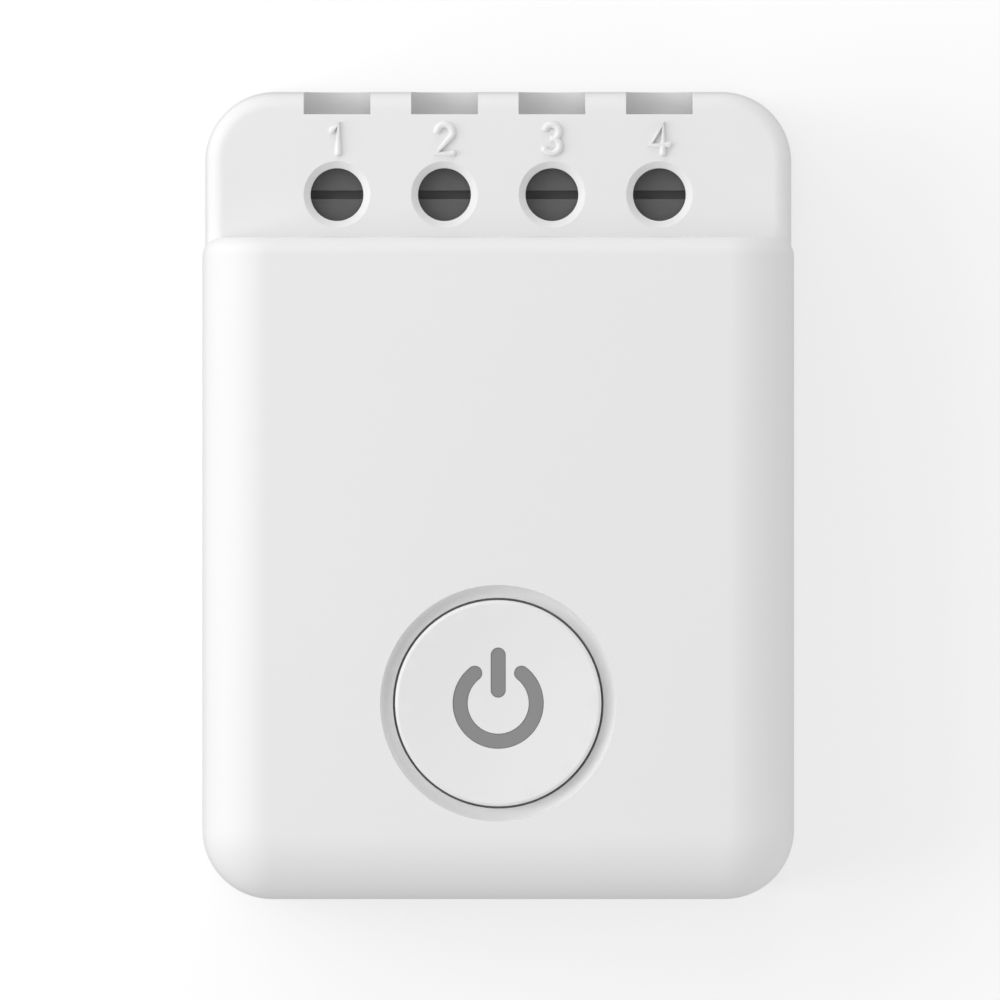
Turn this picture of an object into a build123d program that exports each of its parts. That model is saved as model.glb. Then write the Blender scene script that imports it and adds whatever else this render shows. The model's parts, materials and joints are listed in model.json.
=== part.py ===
"""Smart relay module: a small mains switching unit with four screw terminals and a push button.

The module lies on its back. The origin is the centre of the back face, +Z points out of the
front face towards the button, +Y points towards the terminals and +X to the right in front view.
The case is as large as what it holds: its width comes from the row of terminals and the screw
bosses beside it, its length from the terminals, relay, pin header and cans in line, and its
depth from the boards and the relay. All lengths are in millimetres.
"""

import math
import os

from build123d import *

# General clearances and cuts
face_gap = 0.05          # between two faces that seat on each other in different pieces
slide_gap = 0.1          # around a piece that slides or drops into a pocket
overrun = 2.0            # how far a cutting body passes the face that it cuts

# Case outline, seen from the front
case_low_room = 6.75     # from the lowest can to the low end
case_front_room = 2.9    # from the relay's top to the front wall
case_corner_radius = 4.9
side_lip = 0.2           # how far the main cover stands out past the terminal end and rear case
draft_angle = 1.5        # lean of the cover's outer walls, in degrees

# Front cover
cover_wall = 1.75
front_wall = 1.8
face_edge_inset = 0.5    # how much tighter the face's edge is rounded than the corners
shelf_step_room = 0.63   # from the countersinks to the step
shelf_wall = 1.6
shelf_edge_radius = 1.1
step_edge_radius = 1.25
end_wall = 1.7
hold_rib_width = 1.2
hold_rib_reach = 1.4
hold_rib_y = -6.0

# Rear case
rear_floor = 1.8
rear_wall = 1.6
rear_edge_radius = 0.8
tongue_thickness = 0.75
tongue_height = 1.2
label_recess_width = 28.0
label_recess_length = 20.0
label_recess_depth = 0.25
label_recess_corner = 1.5
label_recess_y = -4.0
ledge_width = 1.3
ledge_length = 9.0
ledge_spacing = 30.0

# Case screws and the bosses that they hold
case_screw_radius = 1.15
case_screw_length = 12.0
case_screw_head_radius = 2.0
case_screw_head_height = 1.2
case_screw_sink = 0.25
case_screw_cross_width = 0.55
case_screw_cross_depth = 0.7
screw_tube_wall = 1.05
pilot_gap = 0.02
top_boss_gap = 0.2       # from the row of terminals to the screw tubes beside it
top_boss_skin = 0.75     # from those tubes to the case's side
top_boss_from_end = 6.3
low_boss_from_side = 4.15
low_boss_from_end = 4.2

# Main circuit board
board_stand = 1.6
board_thickness = 1.6
board_gap = 0.35
board_corner_radius = 2.6
lead_length = 1.0        # how far leads come out under the board
lead_radius = 0.3
lead_hole_gap = 0.15
lead_bend_radius = 0.7

# Screw terminals
pole_count = 4
pole_pitch = 7.5
terminal_from_end = 1.8
terminal_back_wall = 1.6
screw_from_end = 7.3
driver_hole_radius = 1.85
countersink_radius = 2.33
countersink_depth = 0.48
wire_room = 2.95         # from the open cage's floor to the bar over it
wire_slot_radius = 2.33
wire_bore_radius = 1.8
wire_funnel_radius = 2.2
wire_funnel_depth = 0.55
housing_top_gap = 0.2
housing_web = 0.7
key_width = 1.2
key_height = 0.5
key_from_back = 2.1
terminal_screw_radius = 1.5
terminal_screw_head_radius = 2.0
terminal_screw_head_height = 1.6
terminal_screw_slot_width = 0.6
terminal_screw_slot_depth = 0.8
terminal_screw_tip = 0.4
cage_width = 4.6
cage_length = 5.0
cage_side = 0.8
cage_floor = 0.9
cage_roof = 1.2
cage_lift = 2.0          # how far the cage rises from open to clamped
bar_width = 2.6
bar_thickness = 0.8
bar_pin_width = 1.0
bar_reach = 1.2          # how far the bar reaches back past the cage pocket

# Power button, its cove in the cover and its icon
button_from_end = 13.84
button_radius = 7.18
button_gap = 0.16
button_cove = 0.89
button_edge_radius = 0.25
button_below_face = 0.05
button_dish = 0.45
button_top_wall = 1.15
button_skirt_wall = 1.0
button_flange_lip = 0.75
button_flange_height = 0.8
button_travel = 0.35
button_post_radius = 1.2
button_post_length = 2.02
guide_wall = 0.9
guide_height = 1.9
guide_key_width = 1.5
guide_key_reach = 0.6
guide_key_root = 0.3
icon_ring_radius = 2.65
icon_stroke = 0.98
icon_opening_angle = 38.0    # from the icon's axis to each end of its ring, in degrees
icon_bar_low = 0.42
icon_bar_high = 3.84
icon_plate_radius = 4.7
icon_plate_thickness = 0.6
icon_gap = 0.03

# Relay
relay_wall = 0.7
relay_end_room = 1.55    # inside its cover, past the common pin
relay_side_room = 0.5    # inside its cover, past the fixed contact's leg
relay_top_room = 1.0     # inside its cover, over the contact blade
relay_from_terminals = 1.8
relay_from_board_edge = 0.3
relay_base_thickness = 1.6
relay_base_lift = 0.3
yoke_gap = 0.4
yoke_thickness = 1.0
yoke_width = 5.8
bobbin_length = 10.0
bobbin_flange = 5.8
bobbin_flange_thickness = 0.6
bobbin_tube_wall = 0.3
winding_inset = 0.2
core_radius = 1.25
pole_radius = 1.9
pole_thickness = 0.4
armature_travel = 4.0        # swing of the armature onto the core, in degrees
armature_thickness = 1.0
armature_width = 5.8
armature_over_pole = 0.55
carrier_thickness = 0.8
carrier_width = 4.8
carrier_height = 4.4
carrier_foot = 1.5
blade_thickness = 0.25
blade_width = 3.0
blade_foot = 2.4
contact_radius = 0.85
contact_thickness = 0.6
contact_over_armature = 0.45
contact_from_tip = 0.9
fixed_strip_width = 1.0
fixed_strip_side = 3.65
coil_pin_inset = 1.0
coil_pin_spacing = 6.4
common_pin_width = 1.0

# Transformer
transformer_length = 12.0
transformer_from_side = 3.6
transformer_from_terminals = 1.7
transformer_core_height = 4.4
transformer_leg = 1.4
transformer_centre_leg = 2.6
transformer_flange_gap = 0.3
transformer_flange_thickness = 0.6
transformer_tube_wall = 0.5
transformer_winding_depth = 0.55
transformer_winding_inset = 0.35
transformer_foot_height = 2.0
transformer_pin_count = 4
transformer_pin_spacing = 2.5

# Power supply components on the main board
capacitor_radius = 3.15
capacitor_gap = 0.5
input_capacitor_length = 11.0
input_capacitor_count = 2
output_capacitor_from_spacer = 0.75
capacitor_groove = 0.3
capacitor_groove_from_end = 1.2
capacitor_edge_radius = 0.4
capacitor_lead_spacing = 2.5
capacitor_lead_reach = 1.1
capacitor_from_side = 2.8
capacitor_from_header = 5.0
varistor_room = 0.5      # over it, under the control board
varistor_thickness = 3.0
varistor_lead_spacing = 5.0
varistor_from_side = 4.6
varistor_from_relay = 6.5
varistor_lift = 0.7
varistor_lead_share = 0.4    # how far the leads reach up, as a share of its radius
fuse_radius = 1.7
fuse_length = 8.0
fuse_from_side = 14.1
fuse_from_relay = 6.9
fuse_lift = 0.35
inductor_radius = 3.2
inductor_height = 6.5
inductor_spool_radius = 1.8
inductor_flange_height = 0.9
inductor_winding_inset = 0.5
inductor_from_side = 5.4
inductor_from_relay = 14.5
inductor_pin_spacing = 4.0
rectifier_length = 4.8
rectifier_width = 3.9
rectifier_height = 2.5
rectifier_from_side = 14.0
rectifier_from_relay = 13.1
controller_length = 5.0
controller_width = 4.0
controller_height = 1.5
controller_from_side = 14.2
controller_from_relay = 19.5
chip_leg_width = 0.4
chip_leg_reach = 1.0
chip_leg_thickness = 0.2
chip_leg_pitch = 1.27

# Chip resistors, chip capacitors and transistors
chip_length = 1.6
chip_width = 0.8
chip_height = 0.6
small_transistor_length = 2.9
small_transistor_height = 1.0

# Control board and what joins it to the main board
spacer_radius = 2.1
spacer_peg_radius = 1.0
spacer_from_side = 5.1
spacer_boss_gap = 0.1
control_board_thickness = 1.2
control_board_from_side = 3.55
control_board_from_end = 6.9
control_board_corner = 1.0
header_pin_count = 5
header_pitch = 2.54
header_pin_width = 0.64
header_body_width = 2.5
header_body_height = 2.5
header_from_side = 6.6
header_from_windings = 2.8
header_edge = 1.3        # from the header pins to the control board's edge

# Push switch under the button
tact_width = 6.0
tact_wall = 0.4
tact_base_height = 3.1
tact_cover_height = 0.3
tact_plunger_radius = 1.7
tact_plunger_height = 4.3
tact_flange_gap = 0.3
tact_flange_height = 0.6
tact_cavity_floor = 0.9
tact_dome_gap = 0.4
tact_dome_rest = 0.25    # height of the dome when it is pressed flat
tact_dome_thickness = 0.12
tact_leg_width = 0.6

# Radio module and lamps on the control board
radio_length = 12.0
radio_width = 10.0
radio_thickness = 0.8
radio_from_side = 0.6
radio_from_edge = 1.0
shield_length = 8.6
shield_width = 8.2
shield_height = 1.8
shield_wall = 0.2
shield_corner_radius = 0.4
lamp_x = 4.4
regulator_length = 6.5
regulator_width = 3.5
regulator_height = 1.6

# Places of small chips as shares of the board's half width and of the stretch that each
# function names
main_chip_shares = [
    (0.04, -0.5),
    (0.04, -0.56),
    (0.04, -0.78),
    (-0.58, -0.66),
    (-0.46, -0.72),
    (-0.46, -0.3),
]
transistor_shares = [(-0.5, -0.86), (-0.3, -0.92)]
control_chip_shares = [
    (0.42, 0.42),
    (0.42, 0.54),
    (0.82, 0.34),
    (0.36, 0.14),
    (0.5, 0.14),
    (-0.62, 0.2),
    (-0.5, 0.2),
]

# Sizes of pieces that follow from the values above
draft = math.tan(math.radians(draft_angle))
swing = math.sin(math.radians(armature_travel))
face_edge_radius = case_corner_radius - face_edge_inset
screw_tube_radius = case_screw_radius + slide_gap + screw_tube_wall
boss_radius = case_screw_radius + screw_tube_wall
bobbin_tube_radius = core_radius + face_gap + bobbin_tube_wall
winding_radius = bobbin_flange / 2 - winding_inset
relay_width = 2 * (fixed_strip_side + blade_thickness + relay_side_room + relay_wall)
transformer_tube_half = transformer_core_height / 2 + slide_gap + transformer_tube_wall
transformer_winding_half = transformer_tube_half + transformer_winding_depth
transformer_flange_half = transformer_winding_half + transformer_winding_inset
transformer_width = 2 * (transformer_flange_half + transformer_flange_gap + transformer_leg)
capacitor_pitch = 2 * capacitor_radius + capacitor_gap
inductor_winding_radius = inductor_radius - inductor_winding_inset
tact_cavity_radius = tact_width / 2 - tact_wall
tact_flange_radius = tact_cavity_radius - tact_flange_gap
tact_dome_radius = tact_cavity_radius - tact_dome_gap
tact_dome_height = button_travel + tact_dome_rest
flange_radius = button_radius + button_flange_lip

# Across the case
terminal_row_half = pole_count * pole_pitch / 2
top_boss_x = terminal_row_half + top_boss_gap + screw_tube_radius
terminal_half = top_boss_x + screw_tube_radius + top_boss_skin
main_half = terminal_half + side_lip
board_half = terminal_half - rear_wall - board_gap
control_half = main_half - control_board_from_side
pole_places = [(number + 0.5) * pole_pitch - terminal_row_half for number in range(pole_count)]

# Along the case, as distances from its terminal end
terminal_back = screw_from_end + cage_length / 2 + 2 * slide_gap + bar_reach + terminal_back_wall
relay_low = terminal_back + relay_from_terminals + relay_width
transformer_low = terminal_back + transformer_from_terminals + transformer_width
header_line = max(relay_low, transformer_low) + header_from_windings
first_can_line = header_line + capacitor_from_header
last_can_line = first_can_line + input_capacitor_count * capacitor_pitch
case_length = last_can_line + capacitor_radius + case_low_room
shelf_length = screw_from_end + countersink_radius + shelf_step_room

# Along the case, as places
top_end = case_length / 2
low_end = -case_length / 2
step_y = top_end - shelf_length
end_inner_y = top_end - end_wall
board_low_y = low_end + side_lip + rear_wall + board_gap
board_high_y = end_inner_y - board_gap
terminal_front_y = top_end - terminal_from_end
terminal_back_y = top_end - terminal_back
terminal_axis_y = top_end - screw_from_end
pocket_front_y = terminal_axis_y + cage_length / 2 + slide_gap
pocket_back_y = terminal_axis_y - cage_length / 2 - slide_gap
relay_low_y = top_end - relay_low
relay_y = relay_low_y + relay_width / 2
transformer_y = top_end - transformer_low + transformer_width / 2
header_y = top_end - header_line
button_y = low_end + button_from_end
spacer_y = low_end + low_boss_from_end + screw_tube_radius + spacer_boss_gap + spacer_radius
control_low_y = low_end + control_board_from_end
control_high_y = header_y + header_edge

# Levels of the main board and the terminals, from the back up
board_bottom = rear_floor + board_stand
board_top = board_bottom + board_thickness
lead_end_z = board_bottom - lead_length
cage_bottom = board_top + slide_gap
window_bottom = cage_bottom + cage_floor
bar_bottom = window_bottom + wire_room
bar_top = bar_bottom + bar_thickness
window_top = bar_top + slide_gap
cage_top = window_top + cage_roof
web_bottom = cage_top + cage_lift + slide_gap
web_top = web_bottom + housing_web
head_bottom = web_top + face_gap
head_top = head_bottom + terminal_screw_head_height
housing_top = head_top + slide_gap
shelf_inner_z = housing_top + housing_top_gap
shelf_z = shelf_inner_z + shelf_wall
wire_z = (window_bottom + bar_bottom) / 2
parting_z = wire_z
screw_seat_z = case_screw_sink + case_screw_head_height + face_gap
screw_tip_z = screw_seat_z + case_screw_length

# Levels of the relay and the front wall
relay_base_top = board_top + relay_base_lift + relay_base_thickness
yoke_z = relay_base_top + slide_gap
hinge_z = yoke_z + slide_gap
coil_z = yoke_z + yoke_thickness + face_gap + bobbin_flange / 2
armature_top = coil_z + pole_radius + armature_over_pole
contact_z = armature_top + contact_over_armature + contact_radius
blade_top = contact_z + contact_from_tip
relay_top = blade_top + relay_top_room + relay_wall
face_inner_z = relay_top + case_front_room
case_depth = face_inner_z + front_wall

# Levels of the button and, from it down, of the push switch and its board
button_rim_z = case_depth - button_below_face
button_floor_z = button_rim_z - button_dish - button_top_wall
flange_top_z = face_inner_z - slide_gap
flange_bottom_z = flange_top_z - button_flange_height
post_foot_z = button_floor_z - button_post_length
plunger_top_z = post_foot_z - icon_gap
control_top = plunger_top_z - tact_plunger_height
control_bottom = control_top - control_board_thickness
tact_floor_z = control_top + tact_cavity_floor
tact_roof_z = control_top + tact_base_height
plunger_foot_z = tact_floor_z + tact_dome_height + face_gap

# The relay's parts in line, from its coil pins to its contacts
relay_low_x = -board_half + relay_from_board_edge
yoke_x = relay_low_x + relay_wall + yoke_gap
bobbin_x = yoke_x + yoke_thickness + face_gap
pole_face_x = bobbin_x + bobbin_length + face_gap + pole_thickness
armature_x = pole_face_x + (coil_z + pole_radius - hinge_z) * swing + face_gap
carrier_x = armature_x + armature_thickness
blade_x = carrier_x + carrier_thickness
contact_swing = (contact_z + contact_radius - hinge_z) * swing
fixed_face_x = blade_x - contact_thickness - contact_swing - face_gap
relay_pin_x = relay_low_x + relay_wall + coil_pin_inset
common_pin_x = blade_x + blade_thickness
relay_high_x = common_pin_x + blade_thickness + relay_end_room + relay_wall

# Places of the other components
transformer_x = board_half - transformer_from_side - transformer_length / 2
transformer_z = board_top + transformer_foot_height - slide_gap + transformer_flange_half
transformer_pin_top = board_top + transformer_foot_height / 2
spacer_x = main_half - spacer_from_side
capacitor_x = board_half - capacitor_from_side - input_capacitor_length
output_capacitor_length = spacer_x - spacer_radius - output_capacitor_from_spacer - capacitor_x
varistor_x = -board_half + varistor_from_side
varistor_y = relay_low_y - varistor_from_relay
varistor_radius = (control_bottom - board_top - varistor_lift - varistor_room) / 2
fuse_x = -board_half + fuse_from_side
fuse_y = relay_low_y - fuse_from_relay
inductor_x = -board_half + inductor_from_side
inductor_y = relay_low_y - inductor_from_relay
rectifier_x = -board_half + rectifier_from_side
rectifier_y = relay_low_y - rectifier_from_relay
controller_x = -board_half + controller_from_side
controller_y = relay_low_y - controller_from_relay
header_x = control_half - header_from_side
header_places = [
    header_x + (number - (header_pin_count - 1) / 2) * header_pitch
    for number in range(header_pin_count)
]
radio_x = -control_half + radio_from_side + radio_length / 2
radio_y = control_high_y - radio_from_edge - radio_width / 2

boss_places = [
    (side * x, y)
    for x, y in (
        (top_boss_x, top_end - top_boss_from_end),
        (main_half - low_boss_from_side, low_end + low_boss_from_end),
    )
    for side in (-1, 1)
]


# Basic shapes
def block(x_low, x_high, y_low, y_high, z_low, z_high):
    """A box given by its six faces."""
    centre = Pos((x_low + x_high) / 2, (y_low + y_high) / 2, (z_low + z_high) / 2)
    return centre * Box(x_high - x_low, y_high - y_low, z_high - z_low)


def centred(x, y, width, length, z_low, z_high):
    """A box on the point x, y, from z_low to z_high."""
    return block(x - width / 2, x + width / 2, y - length / 2, y + length / 2, z_low, z_high)


def upright(x, y, radius, z_low, z_high):
    """A cylinder along Z."""
    return Pos(x, y, (z_low + z_high) / 2) * Cylinder(radius, z_high - z_low)


def along_x(y, z, radius, x_low, x_high):
    """A cylinder along X."""
    return Pos((x_low + x_high) / 2, y, z) * Rot(0, 90, 0) * Cylinder(radius, x_high - x_low)


def along_y(x, z, radius, y_low, y_high):
    """A cylinder along Y."""
    return Pos(x, (y_low + y_high) / 2, z) * Rot(90, 0, 0) * Cylinder(radius, y_high - y_low)


def plan(half, y_low, y_high, low_radius, high_radius):
    """A flat outline, symmetric in X, with its own corner radius at each end."""
    outline = Pos(0, (y_low + y_high) / 2) * Rectangle(2 * half, y_high - y_low)
    if low_radius > 0:
        outline = fillet(outline.vertices().group_by(Axis.Y)[0], low_radius)
    if high_radius > 0:
        outline = fillet(outline.vertices().group_by(Axis.Y)[-1], high_radius)
    return outline


def leaning_body(half, y_low, y_high, low_radius, high_radius, z_low, z_high):
    """A block whose walls lean in by the draft, apart from a square upper end without corner radius."""
    lean = (z_high - z_low) * draft
    high_lean = lean if high_radius > 0 else 0
    foot = plan(half, y_low, y_high, low_radius, high_radius)
    top = plan(
        half - lean,
        y_low + lean,
        y_high - high_lean,
        max(low_radius - lean, 0),
        max(high_radius - lean, 0),
    )
    return loft([Pos(0, 0, z_low) * foot, Pos(0, 0, z_high) * top], ruled=True)


def write(name, shape):
    """Writes one sub-part."""
    export_step(shape, f"parts/{name}.step")


# Case
def main_dome(wall, z_low, z_high):
    """The tall part of the front cover, at a distance of wall inside its outer surface."""
    body = leaning_body(
        main_half - wall,
        low_end + wall,
        step_y - wall,
        case_corner_radius - wall,
        0,
        z_low,
        z_high,
    )
    rim = body.faces().sort_by(Axis.Z)[-1].edges().sort_by(Axis.Y)[:-1]
    body = fillet(rim, face_edge_radius - wall)
    if wall > 0:
        return body
    step_face = body.faces().sort_by(Axis.Y)[-1]
    step_rim = [edge for edge in step_face.edges() if edge.center().Z > z_low + face_gap]
    return fillet(step_rim, step_edge_radius)


def terminal_end():
    """The low part of the front cover over the terminals, as a solid body."""
    body = leaning_body(
        terminal_half, step_y - shelf_length, top_end, 0, case_corner_radius, parting_z, shelf_z
    )
    rim = body.faces().sort_by(Axis.Z)[-1].edges().sort_by(Axis.Y)[1:]
    return fillet(rim, shelf_edge_radius)


def terminal_room():
    """The room inside the low part of the front cover."""
    outline = plan(
        terminal_half - rear_wall,
        step_y - shelf_length,
        end_inner_y,
        0,
        case_corner_radius - rear_wall,
    )
    low = parting_z - overrun
    return Pos(0, 0, low) * extrude(outline, shelf_inner_z - low)


def rear_plan(inset):
    """The rear case's outline, drawn in by inset."""
    return plan(
        terminal_half - inset,
        low_end + side_lip + inset,
        top_end - inset,
        case_corner_radius - side_lip - inset,
        case_corner_radius - inset,
    )


def wire_slots(y_low):
    """The four U-shaped ways for the wires, from the middle of each wire out to the front."""
    slots = []
    for x in pole_places:
        slots.append(along_y(x, wire_z, wire_slot_radius, y_low, top_end + overrun))
        slots.append(
            block(
                x - wire_slot_radius,
                x + wire_slot_radius,
                y_low,
                top_end + overrun,
                wire_z,
                case_depth,
            )
        )
    return slots


def front_cover():
    """The front moulding: dome, terminal shelf, button hole, screw bosses and guide ring."""
    outer = main_dome(0, parting_z, case_depth) + terminal_end()
    shell = outer - main_dome(cover_wall, parting_z - overrun, face_inner_z) - terminal_room()

    tongue_plan = rear_plan(rear_wall - tongue_thickness - face_gap)
    tongue_room = extrude(tongue_plan, tongue_height + slide_gap)
    shell -= Pos(0, 0, parting_z) * tongue_room

    for x, y in boss_places:
        shell += boss(x, y)
        shell -= upright(
            x, y, case_screw_radius + pilot_gap, parting_z - overrun, screw_tip_z + slide_gap
        )

    for side in (-1, 1):
        shell += hold_rib(side)

    for x in pole_places:
        shell -= upright(
            x, terminal_axis_y, driver_hole_radius, shelf_inner_z - overrun, shelf_z + overrun
        )
        sink_top = shelf_z + countersink_depth
        sink = Cone(
            driver_hole_radius,
            2 * countersink_radius - driver_hole_radius,
            2 * countersink_depth,
        )
        shell -= Pos(x, terminal_axis_y, (shelf_z - countersink_depth + sink_top) / 2) * sink
    for slot in wire_slots(end_inner_y):
        shell -= slot

    guide_radius = flange_radius + slide_gap
    guide_foot = face_inner_z - guide_height
    guide = upright(0, button_y, guide_radius + guide_wall, guide_foot, face_inner_z + face_gap)
    guide -= upright(0, button_y, guide_radius, guide_foot - overrun, face_inner_z + overrun)
    guide -= guide_key(slide_gap, guide_foot - overrun, face_inner_z)
    shell += guide
    shell -= upright(
        0, button_y, button_radius + button_gap, face_inner_z - overrun, case_depth + overrun
    )
    shell -= cove_ring()
    return shell


def boss(x, y):
    """A screw boss, which stands free of the rear case's tongue at its foot."""
    neck_z = parting_z + tongue_height + slide_gap
    top_z = shelf_inner_z if y > 0 else face_inner_z
    foot = upright(x, y, boss_radius, parting_z + face_gap, neck_z + face_gap)
    foot_room = Pos(0, 0, parting_z) * extrude(rear_plan(rear_wall + face_gap), shelf_wall)
    return (foot & foot_room) + upright(x, y, boss_radius, neck_z, top_z + face_gap)


def hold_rib(side):
    """A rib on each side wall that holds the main board down on its ledges."""
    inner = board_half - hold_rib_reach + board_gap
    foot_outer = board_half + board_gap - slide_gap
    wall_outer = main_half - cover_wall + cover_wall / 2
    neck_z = parting_z + tongue_height + 2 * slide_gap
    y_low = hold_rib_y - hold_rib_width / 2
    y_high = hold_rib_y + hold_rib_width / 2
    foot = block(inner, foot_outer, y_low, y_high, board_top + face_gap, neck_z + overrun)
    stem_top = case_depth - face_edge_radius
    stem = block(inner, wall_outer, y_low, y_high, neck_z, stem_top)
    rib = foot + stem
    return rib if side > 0 else mirror(rib, Plane.YZ)


def cove_ring():
    """The ring that cuts a quarter-round cove into the front face around the button."""
    return Pos(0, button_y, case_depth) * Torus(button_radius + button_gap, button_cove)


def guide_key(gap, z_low, z_high):
    """The tab on the button's flange, or with a gap its notch in the guide ring."""
    half = guide_key_width / 2 + gap
    outer = flange_radius + guide_key_reach + gap
    if gap > 0:
        outer = flange_radius + slide_gap + guide_wall + overrun
    return block(-half, half, button_y - outer, button_y - flange_radius + guide_key_root, z_low, z_high)


def rear_case():
    """The rear tray: floor, walls, tongue, screw tubes, board ledges and bare label recess."""
    tray = extrude(rear_plan(0), parting_z)
    tray = fillet(tray.faces().sort_by(Axis.Z)[0].edges(), rear_edge_radius)
    tongue = extrude(rear_plan(rear_wall - tongue_thickness), tongue_height)
    tray += Pos(0, 0, parting_z) * tongue
    room = plan(
        terminal_half - rear_wall,
        low_end + side_lip + rear_wall,
        end_inner_y,
        case_corner_radius - side_lip - rear_wall,
        case_corner_radius - rear_wall,
    )
    tray -= Pos(0, 0, rear_floor) * extrude(room, case_depth)

    tube_radius = case_screw_radius + slide_gap + screw_tube_wall
    for x, y in boss_places:
        tray += upright(x, y, tube_radius, rear_floor - face_gap, parting_z)
        tray -= upright(x, y, case_screw_radius + slide_gap, -overrun, parting_z + overrun)
        tray -= upright(x, y, case_screw_head_radius + slide_gap, -overrun, screw_seat_z)

    wall_x = terminal_half - rear_wall
    for side in (-1, 1):
        for end in (-1, 1):
            y = end * ledge_spacing / 2
            ledge = centred(
                wall_x - ledge_width / 2 + face_gap,
                y,
                ledge_width + 2 * face_gap,
                ledge_length,
                rear_floor - face_gap,
                board_bottom,
            )
            tray += ledge if side > 0 else mirror(ledge, Plane.YZ)

    for slot in wire_slots(end_inner_y - overrun):
        tray -= slot
    recess = RectangleRounded(label_recess_width, label_recess_length, label_recess_corner)
    tray -= Pos(0, label_recess_y, 0) * extrude(recess, label_recess_depth)
    return tray


def case_screws():
    """Four self-tapping screws, put in from the back."""
    screws = []
    for x, y in boss_places:
        head_top_z = case_screw_sink + case_screw_head_height
        screw = upright(x, y, case_screw_head_radius, case_screw_sink, head_top_z)
        screw += upright(x, y, case_screw_radius, head_top_z - face_gap, screw_tip_z - face_gap)
        for width, length in (
            (case_screw_cross_width, case_screw_head_radius),
            (case_screw_head_radius, case_screw_cross_width),
        ):
            screw -= centred(
                x, y, width, length, case_screw_sink - overrun, case_screw_sink + case_screw_cross_depth
            )
        screws.append(screw)
    return Compound(children=screws)


# Power button
def dish_tool(drop):
    """The large ball that hollows the button's face, lowered by drop."""
    reach = button_radius - button_edge_radius
    ball_radius = (reach**2 + button_dish**2) / (2 * button_dish)
    return Pos(0, button_y, button_rim_z - button_dish - drop + ball_radius) * Sphere(ball_radius)


def icon_outline(gap):
    """The power symbol: an open ring and an upright bar, both with round ends, grown by gap."""
    width = icon_stroke + 2 * gap
    start = 90 + icon_opening_angle
    sweep_angle = 360 - 2 * icon_opening_angle
    ring = SlotArc(CenterArc((0, 0), icon_ring_radius, start, sweep_angle), width)
    bar_length = icon_bar_high - icon_bar_low + 2 * gap
    bar = Rot(0, 0, 90) * SlotOverall(bar_length, width)
    return ring + Pos(0, (icon_bar_low + icon_bar_high) / 2) * bar


def power_button():
    """The round cap with its dished face, icon windows, skirt, stop flange, key and post."""
    cap = upright(0, button_y, button_radius, flange_bottom_z, button_rim_z)
    cap = fillet(cap.faces().sort_by(Axis.Z)[-1].edges(), button_edge_radius)
    cap -= dish_tool(0)
    inner_radius = button_radius - button_skirt_wall
    cap -= upright(0, button_y, inner_radius, flange_bottom_z - overrun, button_floor_z)
    flange = upright(0, button_y, flange_radius, flange_bottom_z, flange_top_z)
    flange += guide_key(0, flange_bottom_z, flange_top_z)
    flange -= upright(0, button_y, inner_radius, flange_bottom_z - overrun, face_inner_z)
    cap += flange
    cap += upright(0, button_y, button_post_radius, post_foot_z, button_floor_z + face_gap)
    window = extrude(icon_outline(icon_gap), case_depth - button_floor_z + overrun)
    cap -= Pos(0, button_y, button_floor_z) * window
    return cap


def button_icon():
    """The grey light guide behind the button, which fills the icon's windows."""
    icon = Pos(0, button_y, button_floor_z) * extrude(icon_outline(0), case_depth - button_floor_z)
    icon -= dish_tool(icon_gap)
    plate_foot = button_floor_z - icon_plate_thickness
    plate = upright(0, button_y, icon_plate_radius, plate_foot, button_floor_z)
    plate -= upright(
        0,
        button_y,
        button_post_radius + slide_gap,
        plate_foot - overrun,
        button_floor_z,
    )
    return icon + plate


# Screw terminals
def terminal_housing(x):
    """One pole's insulating body, keyed to the next, with its wire bore and cage pocket."""
    half = pole_pitch / 2 - face_gap / 2
    body = block(x - half, x + half, terminal_back_y, terminal_front_y, board_top, housing_top)
    key_y = terminal_back_y + key_from_back
    body += block(
        x + half - face_gap,
        x + half + key_height,
        key_y - key_width / 2,
        key_y + key_width / 2,
        board_top,
        housing_top - key_height,
    )
    body -= centred(
        x - half + key_height / 2,
        key_y,
        key_height + 2 * face_gap,
        key_width + 2 * face_gap,
        board_top - overrun,
        housing_top - key_height + slide_gap,
    )
    pocket_half = cage_width / 2 + slide_gap
    body -= block(
        x - pocket_half, x + pocket_half, pocket_back_y, pocket_front_y, board_top - overrun, web_bottom
    )
    body -= block(
        x - bar_width / 2 - slide_gap,
        x + bar_width / 2 + slide_gap,
        pocket_back_y - bar_reach - slide_gap,
        terminal_axis_y,
        board_top - overrun,
        bar_top + slide_gap,
    )
    y = terminal_axis_y
    body -= upright(
        x, y, terminal_screw_radius + slide_gap, web_bottom - overrun, web_top + overrun
    )
    body -= upright(
        x, y, terminal_screw_head_radius + slide_gap, web_top, housing_top + overrun
    )
    body -= along_y(x, wire_z, wire_bore_radius, terminal_axis_y, terminal_front_y + overrun)
    funnel = Cone(wire_bore_radius, 2 * wire_funnel_radius - wire_bore_radius, 2 * wire_funnel_depth)
    body -= Pos(x, terminal_front_y, wire_z) * Rot(-90, 0, 0) * funnel
    return body


def terminal_screw(x):
    """A slotted clamp screw, held in place endways, that turns and lifts its cage."""
    screw = upright(x, terminal_axis_y, terminal_screw_head_radius, head_bottom, head_top)
    shank = upright(x, terminal_axis_y, terminal_screw_radius, bar_top + face_gap, head_bottom + face_gap)
    shank = chamfer(shank.faces().sort_by(Axis.Z)[0].edges(), terminal_screw_tip)
    screw += shank
    slot_bottom = head_top - terminal_screw_slot_depth
    screw -= centred(
        x,
        terminal_axis_y,
        2 * terminal_screw_head_radius + overrun,
        terminal_screw_slot_width,
        slot_bottom,
        head_top + overrun,
    )
    return screw


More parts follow.
